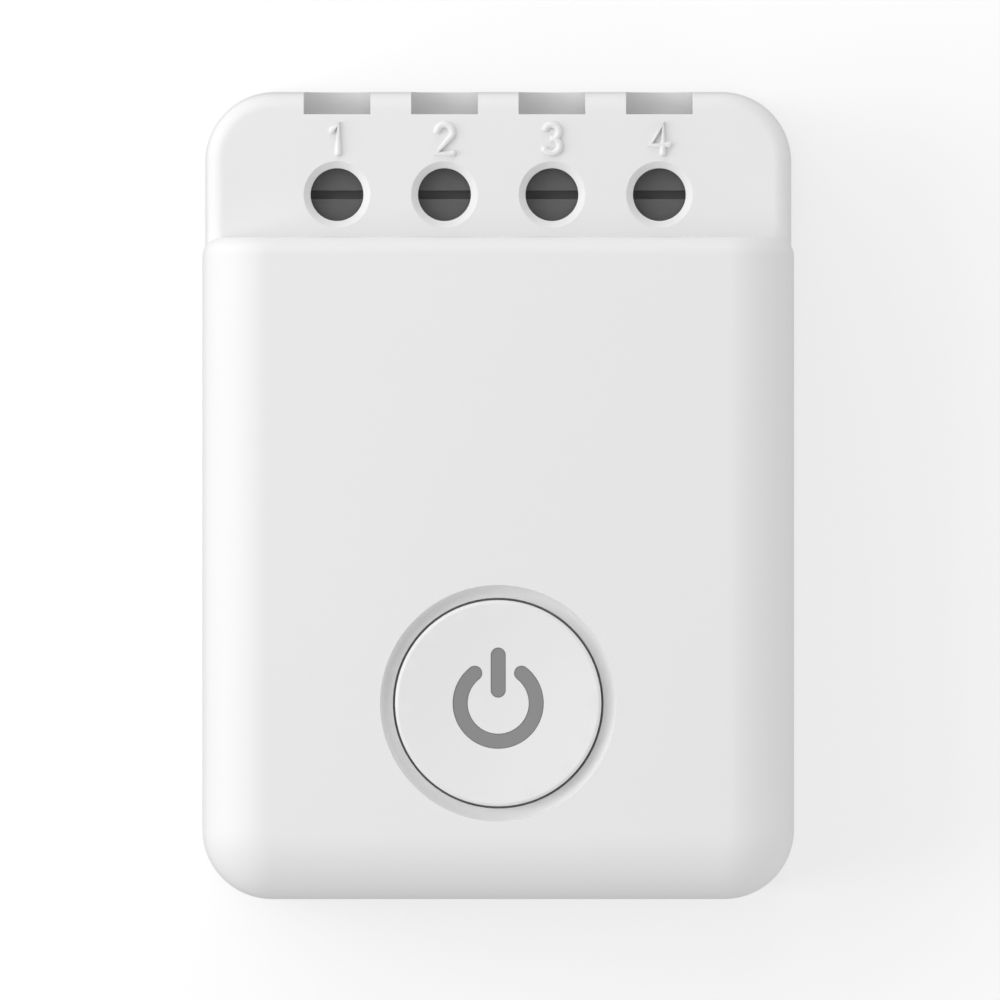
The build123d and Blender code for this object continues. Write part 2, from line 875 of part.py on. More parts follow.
def clamp_cage(x):
    """The square steel cage that the screw pulls up to press the wire on the bar."""
    y_low = terminal_axis_y - cage_length / 2
    y_high = terminal_axis_y + cage_length / 2
    cage = block(x - cage_width / 2, x + cage_width / 2, y_low, y_high, cage_bottom, cage_top)
    window_half = cage_width / 2 - cage_side
    cage -= block(
        x - window_half, x + window_half, y_low - overrun, y_high + overrun, window_bottom, window_top
    )
    cage -= upright(
        x, terminal_axis_y, terminal_screw_radius + face_gap, window_top - overrun, cage_top + overrun
    )
    return cage


def current_bar(x):
    """The bar that the wire is pressed on, with its pin into the main board."""
    y_back = pocket_back_y - bar_reach
    half = bar_width / 2
    bar = block(x - half, x + half, y_back, pocket_front_y - slide_gap, bar_bottom, bar_top)
    bar += block(x - half, x + half, y_back, y_back + bar_thickness, board_top + slide_gap, bar_top)
    bar += centred(x, y_back + bar_thickness / 2, bar_pin_width, bar_thickness, lead_end_z, bar_top)
    return bar


def bar_pin_places():
    """Where the four current bars go through the main board."""
    y = pocket_back_y - bar_reach + bar_thickness / 2
    return [(x, y) for x in pole_places]


# Relay
def relay_case():
    """The relay's own cover."""
    half = relay_width / 2
    case = block(relay_low_x, relay_high_x, relay_y - half, relay_y + half, board_top, relay_top)
    upright_edges = case.edges().filter_by(Axis.Z)
    top_edges = case.faces().sort_by(Axis.Z)[-1].edges()
    case = fillet(upright_edges + top_edges, relay_wall / 2)
    return case - block(
        relay_low_x + relay_wall,
        relay_high_x - relay_wall,
        relay_y - half + relay_wall,
        relay_y + half - relay_wall,
        board_top - overrun,
        relay_top - relay_wall,
    )


def relay_pin_places():
    """Round coil pins, by their centres."""
    return [(relay_pin_x, relay_y + side * coil_pin_spacing / 2) for side in (-1, 1)]


def fixed_leg(gap):
    """The upright leg of the fixed contact's strip, grown by gap."""
    strip_x = fixed_face_x - contact_thickness - blade_thickness
    side_y = relay_y + fixed_strip_side
    return block(
        strip_x - fixed_strip_width + blade_thickness - gap,
        strip_x + blade_thickness + gap,
        side_y - gap,
        side_y + blade_thickness + gap,
        lead_end_z - gap,
        contact_z + contact_radius + face_gap + gap,
    )


def common_pin(gap):
    """The flat pin of the moving contact's side, grown by gap."""
    return block(
        common_pin_x - gap,
        common_pin_x + blade_thickness + gap,
        relay_y - common_pin_width / 2 - gap,
        relay_y + common_pin_width / 2 + gap,
        lead_end_z - gap,
        hinge_z + blade_foot - slide_gap + gap,
    )


def relay_base():
    """The plate that closes the relay and carries its pins."""
    inset = relay_wall + face_gap
    half = relay_width / 2 - inset
    base = block(
        relay_low_x + inset,
        relay_high_x - inset,
        relay_y - half,
        relay_y + half,
        board_top + relay_base_lift,
        relay_base_top,
    )
    for x, y in relay_pin_places():
        base -= upright(x, y, lead_radius + pilot_gap, board_top, relay_base_top + overrun)
    base -= fixed_leg(pilot_gap)
    base -= common_pin(pilot_gap)
    return base


def relay_pins():
    """The two coil pins and the common contact pin."""
    top = relay_base_top + face_gap
    pins = [upright(x, y, lead_radius, lead_end_z, top) for x, y in relay_pin_places()]
    return Compound(children=pins + [common_pin(0)])


def relay_yoke():
    """The L-shaped iron yoke, under the coil and up behind it."""
    half = yoke_width / 2
    yoke = block(
        yoke_x,
        armature_x - slide_gap - face_gap,
        relay_y - half,
        relay_y + half,
        yoke_z,
        yoke_z + yoke_thickness,
    )
    yoke += block(
        yoke_x, yoke_x + yoke_thickness, relay_y - half, relay_y + half, yoke_z, coil_z + bobbin_flange / 2
    )
    return yoke - along_x(relay_y, coil_z, core_radius + pilot_gap, yoke_x - overrun, bobbin_x)


def relay_bobbin():
    """The coil former: a tube with a square flange at each end."""
    end_x = bobbin_x + bobbin_length
    bobbin = along_x(relay_y, coil_z, bobbin_tube_radius, bobbin_x, end_x)
    half = bobbin_flange / 2
    for x_low in (bobbin_x, end_x - bobbin_flange_thickness):
        bobbin += block(
            x_low,
            x_low + bobbin_flange_thickness,
            relay_y - half,
            relay_y + half,
            coil_z - half,
            coil_z + half,
        )
    return bobbin - along_x(relay_y, coil_z, core_radius + face_gap, bobbin_x - overrun, end_x + overrun)


def relay_winding():
    """The coil's copper winding."""
    low = bobbin_x + bobbin_flange_thickness
    high = bobbin_x + bobbin_length - bobbin_flange_thickness
    winding = along_x(relay_y, coil_z, winding_radius, low, high)
    return winding - along_x(relay_y, coil_z, bobbin_tube_radius, low - overrun, high + overrun)


def relay_core():
    """The iron core with its pole disc."""
    core = along_x(relay_y, coil_z, core_radius, yoke_x, pole_face_x)
    return core + along_x(relay_y, coil_z, pole_radius, pole_face_x - pole_thickness, pole_face_x)


def relay_armature():
    """The iron plate that the pole pulls in, hinged at its lower edge."""
    half = armature_width / 2
    return block(
        armature_x,
        carrier_x,
        relay_y - half,
        relay_y + half,
        hinge_z,
        armature_top,
    )


def armature_carrier():
    """The plastic block that insulates the contact blade from the armature."""
    half = carrier_width / 2
    low = hinge_z + carrier_foot
    return block(carrier_x, blade_x, relay_y - half, relay_y + half, low, low + carrier_height)


def contact_blade():
    """The moving contact's spring blade with its rivet."""
    half = blade_width / 2
    low = hinge_z + blade_foot
    blade = block(
        blade_x, blade_x + blade_thickness, relay_y - half, relay_y + half, low, blade_top
    )
    return blade + along_x(
        relay_y, contact_z, contact_radius, blade_x - contact_thickness, blade_x + blade_thickness
    )


def fixed_contact():
    """The fixed contact's rivet, strip and pin."""
    back_x = fixed_face_x - contact_thickness
    strip = block(
        back_x - blade_thickness,
        back_x,
        relay_y - contact_radius,
        relay_y + fixed_strip_side + blade_thickness,
        contact_z - contact_radius - face_gap,
        contact_z + contact_radius + face_gap,
    )
    rivet = along_x(relay_y, contact_z, contact_radius, back_x - blade_thickness, fixed_face_x)
    return strip + rivet + fixed_leg(0)


# Transformer
def transformer_ends():
    """The x range between the two core backs."""
    half = transformer_length / 2 - transformer_leg - face_gap
    return transformer_x - half, transformer_x + half


def transformer_bobbin():
    """The former with two flanges and two feet for the pins."""
    x_low, x_high = transformer_ends()
    half_flange = transformer_flange_half
    tube_half_y = transformer_centre_leg / 2 + slide_gap
    tube_half_z = transformer_tube_half - transformer_tube_wall
    bobbin = block(
        x_low,
        x_high,
        transformer_y - tube_half_y - transformer_tube_wall,
        transformer_y + tube_half_y + transformer_tube_wall,
        transformer_z - transformer_tube_half,
        transformer_z + transformer_tube_half,
    )
    for end_x, direction in ((x_low, 1), (x_high, -1)):
        flange_x = sorted((end_x, end_x + direction * transformer_flange_thickness))
        bobbin += block(
            flange_x[0],
            flange_x[1],
            transformer_y - half_flange,
            transformer_y + half_flange,
            transformer_z - half_flange,
            transformer_z + half_flange,
        )
        foot_start = end_x + direction * transformer_flange_thickness
        foot_x = sorted((foot_start, end_x - direction * transformer_leg))
        bobbin += block(
            foot_x[0],
            foot_x[1],
            transformer_y - transformer_width / 2,
            transformer_y + transformer_width / 2,
            board_top,
            board_top + transformer_foot_height,
        )
    bobbin -= block(
        x_low - overrun,
        x_high + overrun,
        transformer_y - tube_half_y,
        transformer_y + tube_half_y,
        transformer_z - tube_half_z,
        transformer_z + tube_half_z,
    )
    for x, y in transformer_pin_places():
        bobbin -= upright(x, y, lead_radius + pilot_gap, board_top - overrun, transformer_pin_top)
    return bobbin


def transformer_pin_places():
    """The pins under the two feet."""
    x_low, x_high = transformer_ends()
    inset = transformer_leg / 2
    middle = (transformer_pin_count - 1) / 2
    return [
        (x, transformer_y + (number - middle) * transformer_pin_spacing)
        for x in (x_low - inset, x_high + inset)
        for number in range(transformer_pin_count)
    ]


def transformer_pins():
    """All of the transformer's pins."""
    return Compound(
        children=[
            upright(x, y, lead_radius, lead_end_z, transformer_pin_top)
            for x, y in transformer_pin_places()
        ]
    )


def transformer_winding():
    """The taped winding between the flanges."""
    x_low, x_high = transformer_ends()
    low = x_low + transformer_flange_thickness
    high = x_high - transformer_flange_thickness
    half = transformer_winding_half
    winding = block(
        low, high, transformer_y - half, transformer_y + half, transformer_z - half, transformer_z + half
    )
    winding = fillet(winding.edges().filter_by(Axis.X), half / 2)
    inner_y = transformer_centre_leg / 2 + slide_gap + transformer_tube_wall
    return winding - block(
        low - overrun,
        high + overrun,
        transformer_y - inner_y,
        transformer_y + inner_y,
        transformer_z - transformer_tube_half,
        transformer_z + transformer_tube_half,
    )


def transformer_core():
    """Two E-shaped ferrite halves that meet in the middle."""
    halves = []
    half_z = transformer_core_height / 2
    half_y = transformer_width / 2
    for side in (-1, 1):
        outer = transformer_x + side * transformer_length / 2
        x_low, x_high = sorted((outer, transformer_x))
        core = block(
            x_low,
            x_high,
            transformer_y - half_y,
            transformer_y + half_y,
            transformer_z - half_z,
            transformer_z + half_z,
        )
        inner = outer - side * transformer_leg
        window_x = sorted((inner, transformer_x + side * -overrun))
        for y_side in (-1, 1):
            window_y = sorted(
                (
                    transformer_y + y_side * transformer_centre_leg / 2,
                    transformer_y + y_side * (half_y - transformer_leg),
                )
            )
            core -= block(
                window_x[0],
                window_x[1],
                window_y[0],
                window_y[1],
                transformer_z - half_z - overrun,
                transformer_z + half_z + overrun,
            )
        halves.append(core)
    return Compound(children=halves)


# Power supply components
def capacitor_rows():
    """Each can's length and y, from the header towards the low end."""
    lengths = [input_capacitor_length] * input_capacitor_count + [output_capacitor_length]
    first_y = top_end - first_can_line
    return [(length, first_y - number * capacitor_pitch) for number, length in enumerate(lengths)]


def capacitor(length, y):
    """A can lying along X, rounded at both ends and crimped near its leads."""
    z = board_top + capacitor_radius
    can = along_x(y, z, capacitor_radius, capacitor_x, capacitor_x + length)
    can = fillet(can.edges().filter_by(GeomType.CIRCLE), capacitor_edge_radius)
    ring = Torus(capacitor_radius + capacitor_groove / 2, capacitor_groove)
    return can - Pos(capacitor_x + capacitor_groove_from_end, y, z) * Rot(0, 90, 0) * ring


def bent_lead(x_start, x_bend, y, z):
    """A wire that leaves a part along X and turns down through the board."""
    path = FilletPolyline(
        (x_start, y, z), (x_bend, y, z), (x_bend, y, lead_end_z), radius=lead_bend_radius
    )
    return sweep(Plane(path @ 0, z_dir=path % 0) * Circle(lead_radius), path)


def capacitor_lead_places():
    """The bend of each can's leads, by x and y."""
    return [
        (capacitor_x - capacitor_lead_reach, y + side * capacitor_lead_spacing / 2)
        for _, y in capacitor_rows()
        for side in (-1, 1)
    ]


def fuse_lead_places():
    """The bend of the fuse resistor's two leads."""
    reach = fuse_length / 2 + capacitor_lead_reach
    return [(fuse_x + side * reach, fuse_y) for side in (-1, 1)]


def straight_lead_places():
    """The varistor's and the inductor's leads, with the height where each one starts."""
    top = board_top + varistor_lift + varistor_radius * varistor_lead_share
    places = [
        (varistor_x + side * varistor_lead_spacing / 2, varistor_y, top) for side in (-1, 1)
    ]
    places += [
        (inductor_x + side * inductor_pin_spacing / 2, inductor_y, board_top) for side in (-1, 1)
    ]
    return places


def tact_leg_places():
    """The push switch's four legs."""
    reach = tact_width / 2 + tact_leg_width / 2
    return [
        (side * reach, button_y + end * tact_width / 3) for side in (-1, 1) for end in (-1, 1)
    ]


def component_leads():
    """The tinned leads of the cans, fuse, varistor and inductor, and the push switch's legs."""
    leads = []
    z = board_top + capacitor_radius
    for x, y in capacitor_lead_places():
        leads.append(bent_lead(capacitor_x, x, y, z))
    fuse_z = board_top + fuse_lift + fuse_radius
    for side, (x, y) in zip((-1, 1), fuse_lead_places()):
        leads.append(bent_lead(fuse_x + side * fuse_length / 2, x, y, fuse_z))
    for x, y, z_top in straight_lead_places():
        leads.append(upright(x, y, lead_radius, lead_end_z, z_top))
    for x, y in tact_leg_places():
        leads.append(
            centred(
                x,
                y,
                tact_leg_width,
                tact_leg_width,
                control_bottom - lead_length / 2,
                control_top + tact_leg_width,
            )
        )
    return Compound(children=leads)


def varistor():
    """A round disc that stands on two leads."""
    z = board_top + varistor_lift + varistor_radius
    half = varistor_thickness / 2
    disc = along_y(varistor_x, z, varistor_radius, varistor_y - half, varistor_y + half)
    disc = fillet(disc.edges().filter_by(GeomType.CIRCLE), varistor_thickness / 3)
    for x, y, z_top in straight_lead_places()[:2]:
        disc -= upright(x, y, lead_radius, board_top, z_top)
    return disc


def fuse_resistor():
    """A short cylinder lying between its two leads."""
    z = board_top + fuse_lift + fuse_radius
    body = along_x(fuse_y, z, fuse_radius, fuse_x - fuse_length / 2, fuse_x + fuse_length / 2)
    return fillet(body.edges().filter_by(GeomType.CIRCLE), fuse_radius / 4)


def inductor_core():
    """A ferrite spool standing on the main board."""
    top = board_top + inductor_height
    core = upright(inductor_x, inductor_y, inductor_spool_radius, board_top, top)
    height = inductor_flange_height
    core += upright(inductor_x, inductor_y, inductor_radius, board_top, board_top + height)
    core += upright(inductor_x, inductor_y, inductor_radius, top - height, top)
    return core


def inductor_winding():
    """The copper wound on the spool."""
    low = board_top + inductor_flange_height
    high = board_top + inductor_height - inductor_flange_height
    winding = upright(inductor_x, inductor_y, inductor_winding_radius, low, high)
    return winding - upright(
        inductor_x, inductor_y, inductor_spool_radius, low - overrun, high + overrun
    )


def legged_chip(x, y, length, width, height, pitch, legs_each_side):
    """A moulded chip on the main board with flat legs on two sides."""
    lift = chip_leg_thickness
    chip = centred(x, y, length, width, board_top + lift, board_top + height)
    middle = (legs_each_side - 1) / 2
    for number in range(legs_each_side):
        leg_x = x + (number - middle) * pitch
        leg_length = width + 2 * chip_leg_reach
        chip += centred(leg_x, y, chip_leg_width, leg_length, board_top, board_top + lift + face_gap)
    return chip


def bridge_rectifier():
    """The flat four-legged rectifier."""
    return legged_chip(
        rectifier_x, rectifier_y, rectifier_length, rectifier_width, rectifier_height, 2 * chip_leg_pitch, 2
    )


def power_controller():
    """The power supply's eight-legged controller."""
    return legged_chip(
        controller_x, controller_y, controller_length, controller_width, controller_height, chip_leg_pitch, 4
    )


def main_smd_parts():
    """Small chips and transistors on the main board."""
    stretch = -board_low_y
    parts = [
        centred(
            x * board_half, y * stretch, chip_length, chip_width, board_top, board_top + chip_height
        )
        for x, y in main_chip_shares
    ]
    parts += [
        centred(
            x * board_half,
            y * stretch,
            small_transistor_length,
            small_transistor_length / 2,
            board_top,
            board_top + small_transistor_height,
        )
        for x, y in transistor_shares
    ]
    return Compound(children=parts)


# Boards
def lead_holes():
    """Every drilled hole of the main board, by x, y and lead radius."""
    flat_pin = math.hypot(bar_pin_width, bar_thickness) / 2
    strip_pin = fixed_strip_width / 2
    strip_x = fixed_face_x - contact_thickness - fixed_strip_width / 2
    strip_y = relay_y + fixed_strip_side + blade_thickness / 2
    holes = [(x, y, flat_pin) for x, y in bar_pin_places()]
    holes += [(x, y, lead_radius) for x, y in relay_pin_places()]
    holes.append((strip_x, strip_y, strip_pin))
    holes.append((common_pin_x + blade_thickness / 2, relay_y, common_pin_width / 2))
    holes += [(x, y, lead_radius) for x, y in transformer_pin_places()]
    holes += [(x, y, lead_radius) for x, y in capacitor_lead_places() + fuse_lead_places()]
    holes += [(x, y, lead_radius) for x, y, _ in straight_lead_places()]
    holes += [(x, header_y, header_pin_width * math.sqrt(0.5)) for x in header_places]
    holes += [(side * spacer_x, spacer_y, spacer_peg_radius - slide_gap) for side in (-1, 1)]
    return holes


def main_board():
    """The main circuit board, drilled for its leads and cut away round the screw tubes."""
    outline = Pos(0, (board_low_y + board_high_y) / 2) * RectangleRounded(
        2 * board_half, board_high_y - board_low_y, board_corner_radius
    )
    board = Pos(0, 0, board_bottom) * extrude(outline, board_thickness)
    notch_radius = case_screw_radius + slide_gap + screw_tube_wall + board_gap
    for x, y in boss_places:
        board -= upright(x, y, notch_radius, board_bottom - overrun, board_top + overrun)
        x_low, x_high = sorted((x, math.copysign(main_half, x)))
        if y > 0:
            board -= block(
                x_low, x_high, y - notch_radius, y + notch_radius, board_bottom - overrun, board_top + overrun
            )
    for x, y, radius in lead_holes():
        board -= upright(x, y, radius + lead_hole_gap, board_bottom - overrun, board_top + overrun)
    return board


def control_board():
    """The upper circuit board, under the button."""
    outline = Pos(0, (control_low_y + control_high_y) / 2) * RectangleRounded(
        2 * control_half, control_high_y - control_low_y, control_board_corner
    )
    board = Pos(0, 0, control_bottom) * extrude(outline, control_board_thickness)
    holes = [(x, header_y, header_pin_width * math.sqrt(0.5)) for x in header_places]
    holes += [(side * spacer_x, spacer_y, spacer_peg_radius - slide_gap) for side in (-1, 1)]
    holes += [(x, y, tact_leg_width * math.sqrt(0.5)) for x, y in tact_leg_places()]
    for x, y, radius in holes:
        board -= upright(x, y, radius + lead_hole_gap, control_bottom - overrun, control_top + overrun)
    return board


def board_spacers():
    """Two pillars with a peg at each end, between the boards."""
    pillars = []
    for side in (-1, 1):
        x = side * spacer_x
        pillar = upright(x, spacer_y, spacer_radius, board_top, control_bottom)
        pillar += upright(x, spacer_y, spacer_peg_radius, lead_end_z, control_top + lead_length)
        pillars.append(pillar)
    return Compound(children=pillars)


def header_body():
    """The plastic strip that holds the pins between the boards."""
    length = header_pin_count * header_pitch
    body = centred(
        header_x, header_y, length, header_body_width, board_top, board_top + header_body_height
    )
    for x in header_places:
        hole = header_pin_width + 2 * pilot_gap
        body -= centred(x, header_y, hole, hole, board_top - overrun, board_top + header_body_height + overrun)
    return body


def header_pins():
    """The square pins that join the two boards."""
    return Compound(
        children=[
            centred(
                x, header_y, header_pin_width, header_pin_width, lead_end_z, control_top + lead_length
            )
            for x in header_places
        ]
    )


# Push switch
def tact_base():
    """The push switch's body with the hollow for its dome and plunger."""
    base = centred(0, button_y, tact_width, tact_width, control_top, tact_roof_z)
    base -= upright(0, button_y, tact_cavity_radius, tact_floor_z, tact_roof_z + overrun)
    return base


def tact_cover():
    """The thin steel plate that keeps the plunger in."""
    plate = centred(0, button_y, tact_width, tact_width, tact_roof_z, tact_roof_z + tact_cover_height)
    return plate - upright(
        0, button_y, tact_plunger_radius + slide_gap, tact_roof_z - overrun, tact_roof_z + overrun
    )


def tact_plunger():
    """The plunger that the button's post presses."""
    plunger = upright(0, button_y, tact_plunger_radius, plunger_foot_z, plunger_top_z)
    flange_top = tact_roof_z - slide_gap
    return plunger + upright(0, button_y, tact_flange_radius, flange_top - tact_flange_height, flange_top)


def tact_dome():
    """The click spring: a shallow metal dome, as a shell of its thickness."""
    ball_radius = (tact_dome_radius**2 + tact_dome_height**2) / (2 * tact_dome_height)
    centre = Pos(0, button_y, tact_floor_z + tact_dome_height - ball_radius)
    dome = centre * (Sphere(ball_radius) - Sphere(ball_radius - tact_dome_thickness))
    room = upright(0, button_y, tact_dome_radius, tact_floor_z, tact_roof_z)
    return dome & room


# Radio, lamps and chips on the control board
def radio_board():
    """The radio module's own small board."""
    return centred(radio_x, radio_y, radio_length, radio_width, control_top, control_top + radio_thickness)


def shield_can():
    """The steel lid over the radio chip."""
    x = radio_x + (radio_length - shield_length) / 2 - (radio_width - shield_width) / 2
    low = control_top + radio_thickness
    can = centred(x, radio_y, shield_length, shield_width, low, low + shield_height)
    can = fillet(can.edges().filter_by(Axis.Z), shield_corner_radius)
    return can - centred(
        x,
        radio_y,
        shield_length - 2 * shield_wall,
        shield_width - 2 * shield_wall,
        low - overrun,
        low + shield_height - shield_wall,
    )


def status_leds():
    """Two small lamps that light the icon from behind."""
    return Compound(
        children=[
            centred(side * lamp_x, button_y, chip_width, chip_length, control_top, control_top + chip_height)
            for side in (-1, 1)
        ]
    )


def control_smd_parts():
    """Small chips and the voltage regulator on the control board."""
    stretch = control_high_y - control_low_y
    parts = [
        centred(
            x * control_half,
            control_low_y + y * stretch,
            chip_length,
            chip_width,
            control_top,
            control_top + chip_height,
        )
        for x, y in control_chip_shares
    ]
    regulator_x = header_x
    regulator_y = header_y - header_pitch - regulator_width
    parts.append(
        centred(
            regulator_x,
            regulator_y,
            regulator_length,
            regulator_width,
            control_top,
            control_top + regulator_height,
        )
    )
    return Compound(children=parts)


def build_all():
    """Builds every sub-part and writes it."""
    os.makedirs("parts", exist_ok=True)
    write("rear_case", rear_case())
    write("front_cover", front_cover())
    write("case_screws", case_screws())
    write("power_button", power_button())
    write("button_icon", button_icon())
    write("main_board", main_board())
    for number, x in enumerate(pole_places, 1):
        write(f"terminal_housing_{number}", terminal_housing(x))
        write(f"terminal_screw_{number}", terminal_screw(x))
        write(f"clamp_cage_{number}", clamp_cage(x))
        write(f"current_bar_{number}", current_bar(x))
    write("relay_case", relay_case())
    write("relay_base", relay_base())
    write("relay_pins", relay_pins())
    write("relay_yoke", relay_yoke())
    write("relay_bobbin", relay_bobbin())
    write("relay_winding", relay_winding())
    write("relay_core", relay_core())
    write("relay_armature", relay_armature())
    write("armature_carrier", armature_carrier())
    write("contact_blade", contact_blade())
    write("fixed_contact", fixed_contact())
    write("transformer_bobbin", transformer_bobbin())
    write("transformer_winding", transformer_winding())
    write("transformer_core", transformer_core())
    write("transformer_pins", transformer_pins())
    rows = capacitor_rows()
    for number, (length, y) in enumerate(rows[:input_capacitor_count], 1):
        write(f"input_capacitor_{number}", capacitor(length, y))
    write("output_capacitor", capacitor(*rows[-1]))
    write("varistor", varistor())
    write("fuse_resistor", fuse_resistor())
    write("inductor_core", inductor_core())
    write("inductor_winding", inductor_winding())
    write("bridge_rectifier", bridge_rectifier())
    write("power_controller", power_controller())
    write("main_smd_parts", main_smd_parts())
    write("component_leads", component_leads())
    write("header_body", header_body())
    write("header_pins", header_pins())
    write("board_spacers", board_spacers())
    write("control_board", control_board())
    write("tact_base", tact_base())
    write("tact_cover", tact_cover())
    write("tact_plunger", tact_plunger())
    write("tact_dome", tact_dome())
    write("status_leds", status_leds())
    write("radio_board", radio_board())
    write("shield_can", shield_can())
    write("control_smd_parts", control_smd_parts())


build_all()
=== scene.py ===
"""Looks of the smart relay module, around its packed sub-parts.

Gives every sub-part its finish, shades the visible ones smoothly, adds the raised terminal numbers,
the outer wire turns, the chips' metal and the solder joints, and sets the stage.
"""

import json
import math

import bmesh
import bpy
from bpy.props import FloatProperty, FloatVectorProperty, IntProperty, PointerProperty
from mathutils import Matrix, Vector


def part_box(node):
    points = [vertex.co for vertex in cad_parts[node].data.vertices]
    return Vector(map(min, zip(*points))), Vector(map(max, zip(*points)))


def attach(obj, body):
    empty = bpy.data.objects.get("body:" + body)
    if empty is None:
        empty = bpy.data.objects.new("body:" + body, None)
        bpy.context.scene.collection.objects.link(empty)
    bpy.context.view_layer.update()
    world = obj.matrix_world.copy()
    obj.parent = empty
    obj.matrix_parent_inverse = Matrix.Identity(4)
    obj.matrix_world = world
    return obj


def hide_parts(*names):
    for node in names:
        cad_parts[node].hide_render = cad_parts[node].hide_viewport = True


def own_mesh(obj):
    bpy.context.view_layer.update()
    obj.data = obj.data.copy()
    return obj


bl_info = {
    "name": "Smart relay module looks",
    "version": (1, 0, 0),
    "blender": (4, 5, 0),
    "location": "View3D > Sidebar > Relay module",
    "description": "Finishes a small mains relay module and sets its stage",
    "category": "Object",
}

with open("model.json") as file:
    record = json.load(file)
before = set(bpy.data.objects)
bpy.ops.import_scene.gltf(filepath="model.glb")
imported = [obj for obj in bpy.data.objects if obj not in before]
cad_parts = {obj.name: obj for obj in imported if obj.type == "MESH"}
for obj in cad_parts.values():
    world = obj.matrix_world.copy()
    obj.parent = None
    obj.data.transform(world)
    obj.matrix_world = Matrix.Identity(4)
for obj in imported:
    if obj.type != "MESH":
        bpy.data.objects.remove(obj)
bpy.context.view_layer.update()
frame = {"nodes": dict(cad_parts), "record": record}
NODES = frame["nodes"]

MM = 0.001
POLES = (1, 2, 3, 4)
WHITE = (1.0, 1.0, 1.0, 1.0)
BLACK = (0.0, 0.0, 0.0, 1.0)

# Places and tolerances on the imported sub-parts
SHELF_DROP = 4.6 * MM           # from the module's face down to its terminal shelf
MERGE_DISTANCE = 0.0002 * MM    # corners nearer than this are one corner
LEVEL_SLACK = 0.01 * MM         # how far past the board a lead has to reach to count
SHARP_DEGREES = 38.0            # edges sharper than this stay sharp
NORMAL_WEIGHT = 60              # how far large faces rule the shading of their corners

# Fineness and shape of what is added
ARC_STEPS = 14
RIDGE_SIDES = 12
TURN_STEPS = 28
SOLDER_SIDES = 20
SOLDER_TIP_SHARE = 0.45

# Where a Mix node keeps its factor, its two colours and their mix
MIX_FACTOR = 0
MIX_FIRST = 6
MIX_SECOND = 7
MIX_RESULT = 2

# Patterns of the shared surfaces: clouds and specks in cells a metre, tracks in their pattern's units
MOULD_CLOUD_SCALE = 60.0
STREAK_STRETCH = (1.0, 0.06, 1.0)
PLATING_CLOUD_SCALE = 900.0
TRACK_SHIFT = 0.37
TRACK_LENGTH = 1.7
TRACK_PITCH = 0.36
TRACK_GAP = 0.02
TRACK_GAP_SOFTNESS = 0.2
TRACK_TONE = 0.14
TRACK_GAP_TONE = 0.4
MASK_SPECK_SCALE = 2500.0
WRAP_WAVER = 1.2
WRAP_CLOUD_SCALE = 500.0
GRAIN_SPECK_SCALE = 1800.0
COAT_ROUGHNESS = 0.15

# The stage, in metres
FLOOR_HALF = 1.5
FLOOR_DROP = 0.02 * MM          # keeps the floor clear of the module's back
FLOOR_CLOUD_SCALE = 8.0
FLOOR_TONE = 0.01
LAMP_DISTANCE = 0.5
LAMP_SIZE = 0.32
HIGH_DEGREES = 45               # how high the high and low lamps stand over the floor
LOW_DEGREES = 18
SENSOR_WIDTH = 36.0             # in millimetres, as the lens is
CLIP_START = 0.1
CLIP_END = 10.0


def middle(node):
    """The centre of a sub-part's box."""
    low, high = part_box(node)
    return (Vector(low) + Vector(high)) / 2


# Sizes and colours


class RelayModuleSizes(bpy.types.PropertyGroup):
    """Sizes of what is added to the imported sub-parts."""

    numeral_height: FloatProperty(
        name="Numeral height", description="Height of the embossed terminal numbers",
        default=2.45 * MM, unit="LENGTH",
    )
    numeral_stroke: FloatProperty(
        name="Numeral stroke", description="Width of the numbers' rounded ridge",
        default=0.46 * MM, unit="LENGTH",
    )
    numeral_rise: FloatProperty(
        name="Numeral rise", description="From the shelf up to the middle of the ridge",
        default=0.1 * MM, unit="LENGTH",
    )
    numeral_from_screw: FloatProperty(
        name="Numeral from screw", description="From a terminal screw's axis to its number's middle",
        default=3.88 * MM, unit="LENGTH",
    )
    coil_wire: FloatProperty(
        name="Coil wire", description="Thickness of the relay coil's enamelled wire",
        default=0.2 * MM, unit="LENGTH",
    )
    choke_wire: FloatProperty(
        name="Choke wire", description="Thickness of the inductor's enamelled wire",
        default=0.3 * MM, unit="LENGTH",
    )
    largest_cap_chip: FloatProperty(
        name="Largest capped chip", description="Longer chips get legs instead of end caps",
        default=2.6 * MM, unit="LENGTH",
    )
    plating: FloatProperty(
        name="Plating", description="How far an end cap stands out of its chip",
        default=0.02 * MM, unit="LENGTH",
    )
    cap_share: FloatProperty(
        name="Cap share", description="Share of a chip's length under each end cap", default=0.2,
    )
    leg_pitch: FloatProperty(
        name="Leg pitch", description="From one leg of a chip to the next",
        default=0.65 * MM, unit="LENGTH",
    )
    leg_width: FloatProperty(
        name="Leg width", description="Width of a chip's leg",
        default=0.25 * MM, unit="LENGTH",
    )
    leg_reach: FloatProperty(
        name="Leg reach", description="How far a leg stands out of its chip",
        default=0.5 * MM, unit="LENGTH",
    )
    lead_spread: FloatProperty(
        name="Lead spread", description="Points this near belong to one lead",
        default=1.1 * MM, unit="LENGTH",
    )
    solder_width: FloatProperty(
        name="Solder width", description="How far a solder joint spreads past its lead",
        default=0.42 * MM, unit="LENGTH",
    )
    solder_height: FloatProperty(
        name="Solder height", description="How far a solder joint climbs down its lead",
        default=0.5 * MM, unit="LENGTH",
    )
    wire_sides: IntProperty(
        name="Wire sides", description="Sides of the wire's cross-section", default=8, min=3, max=16,
    )


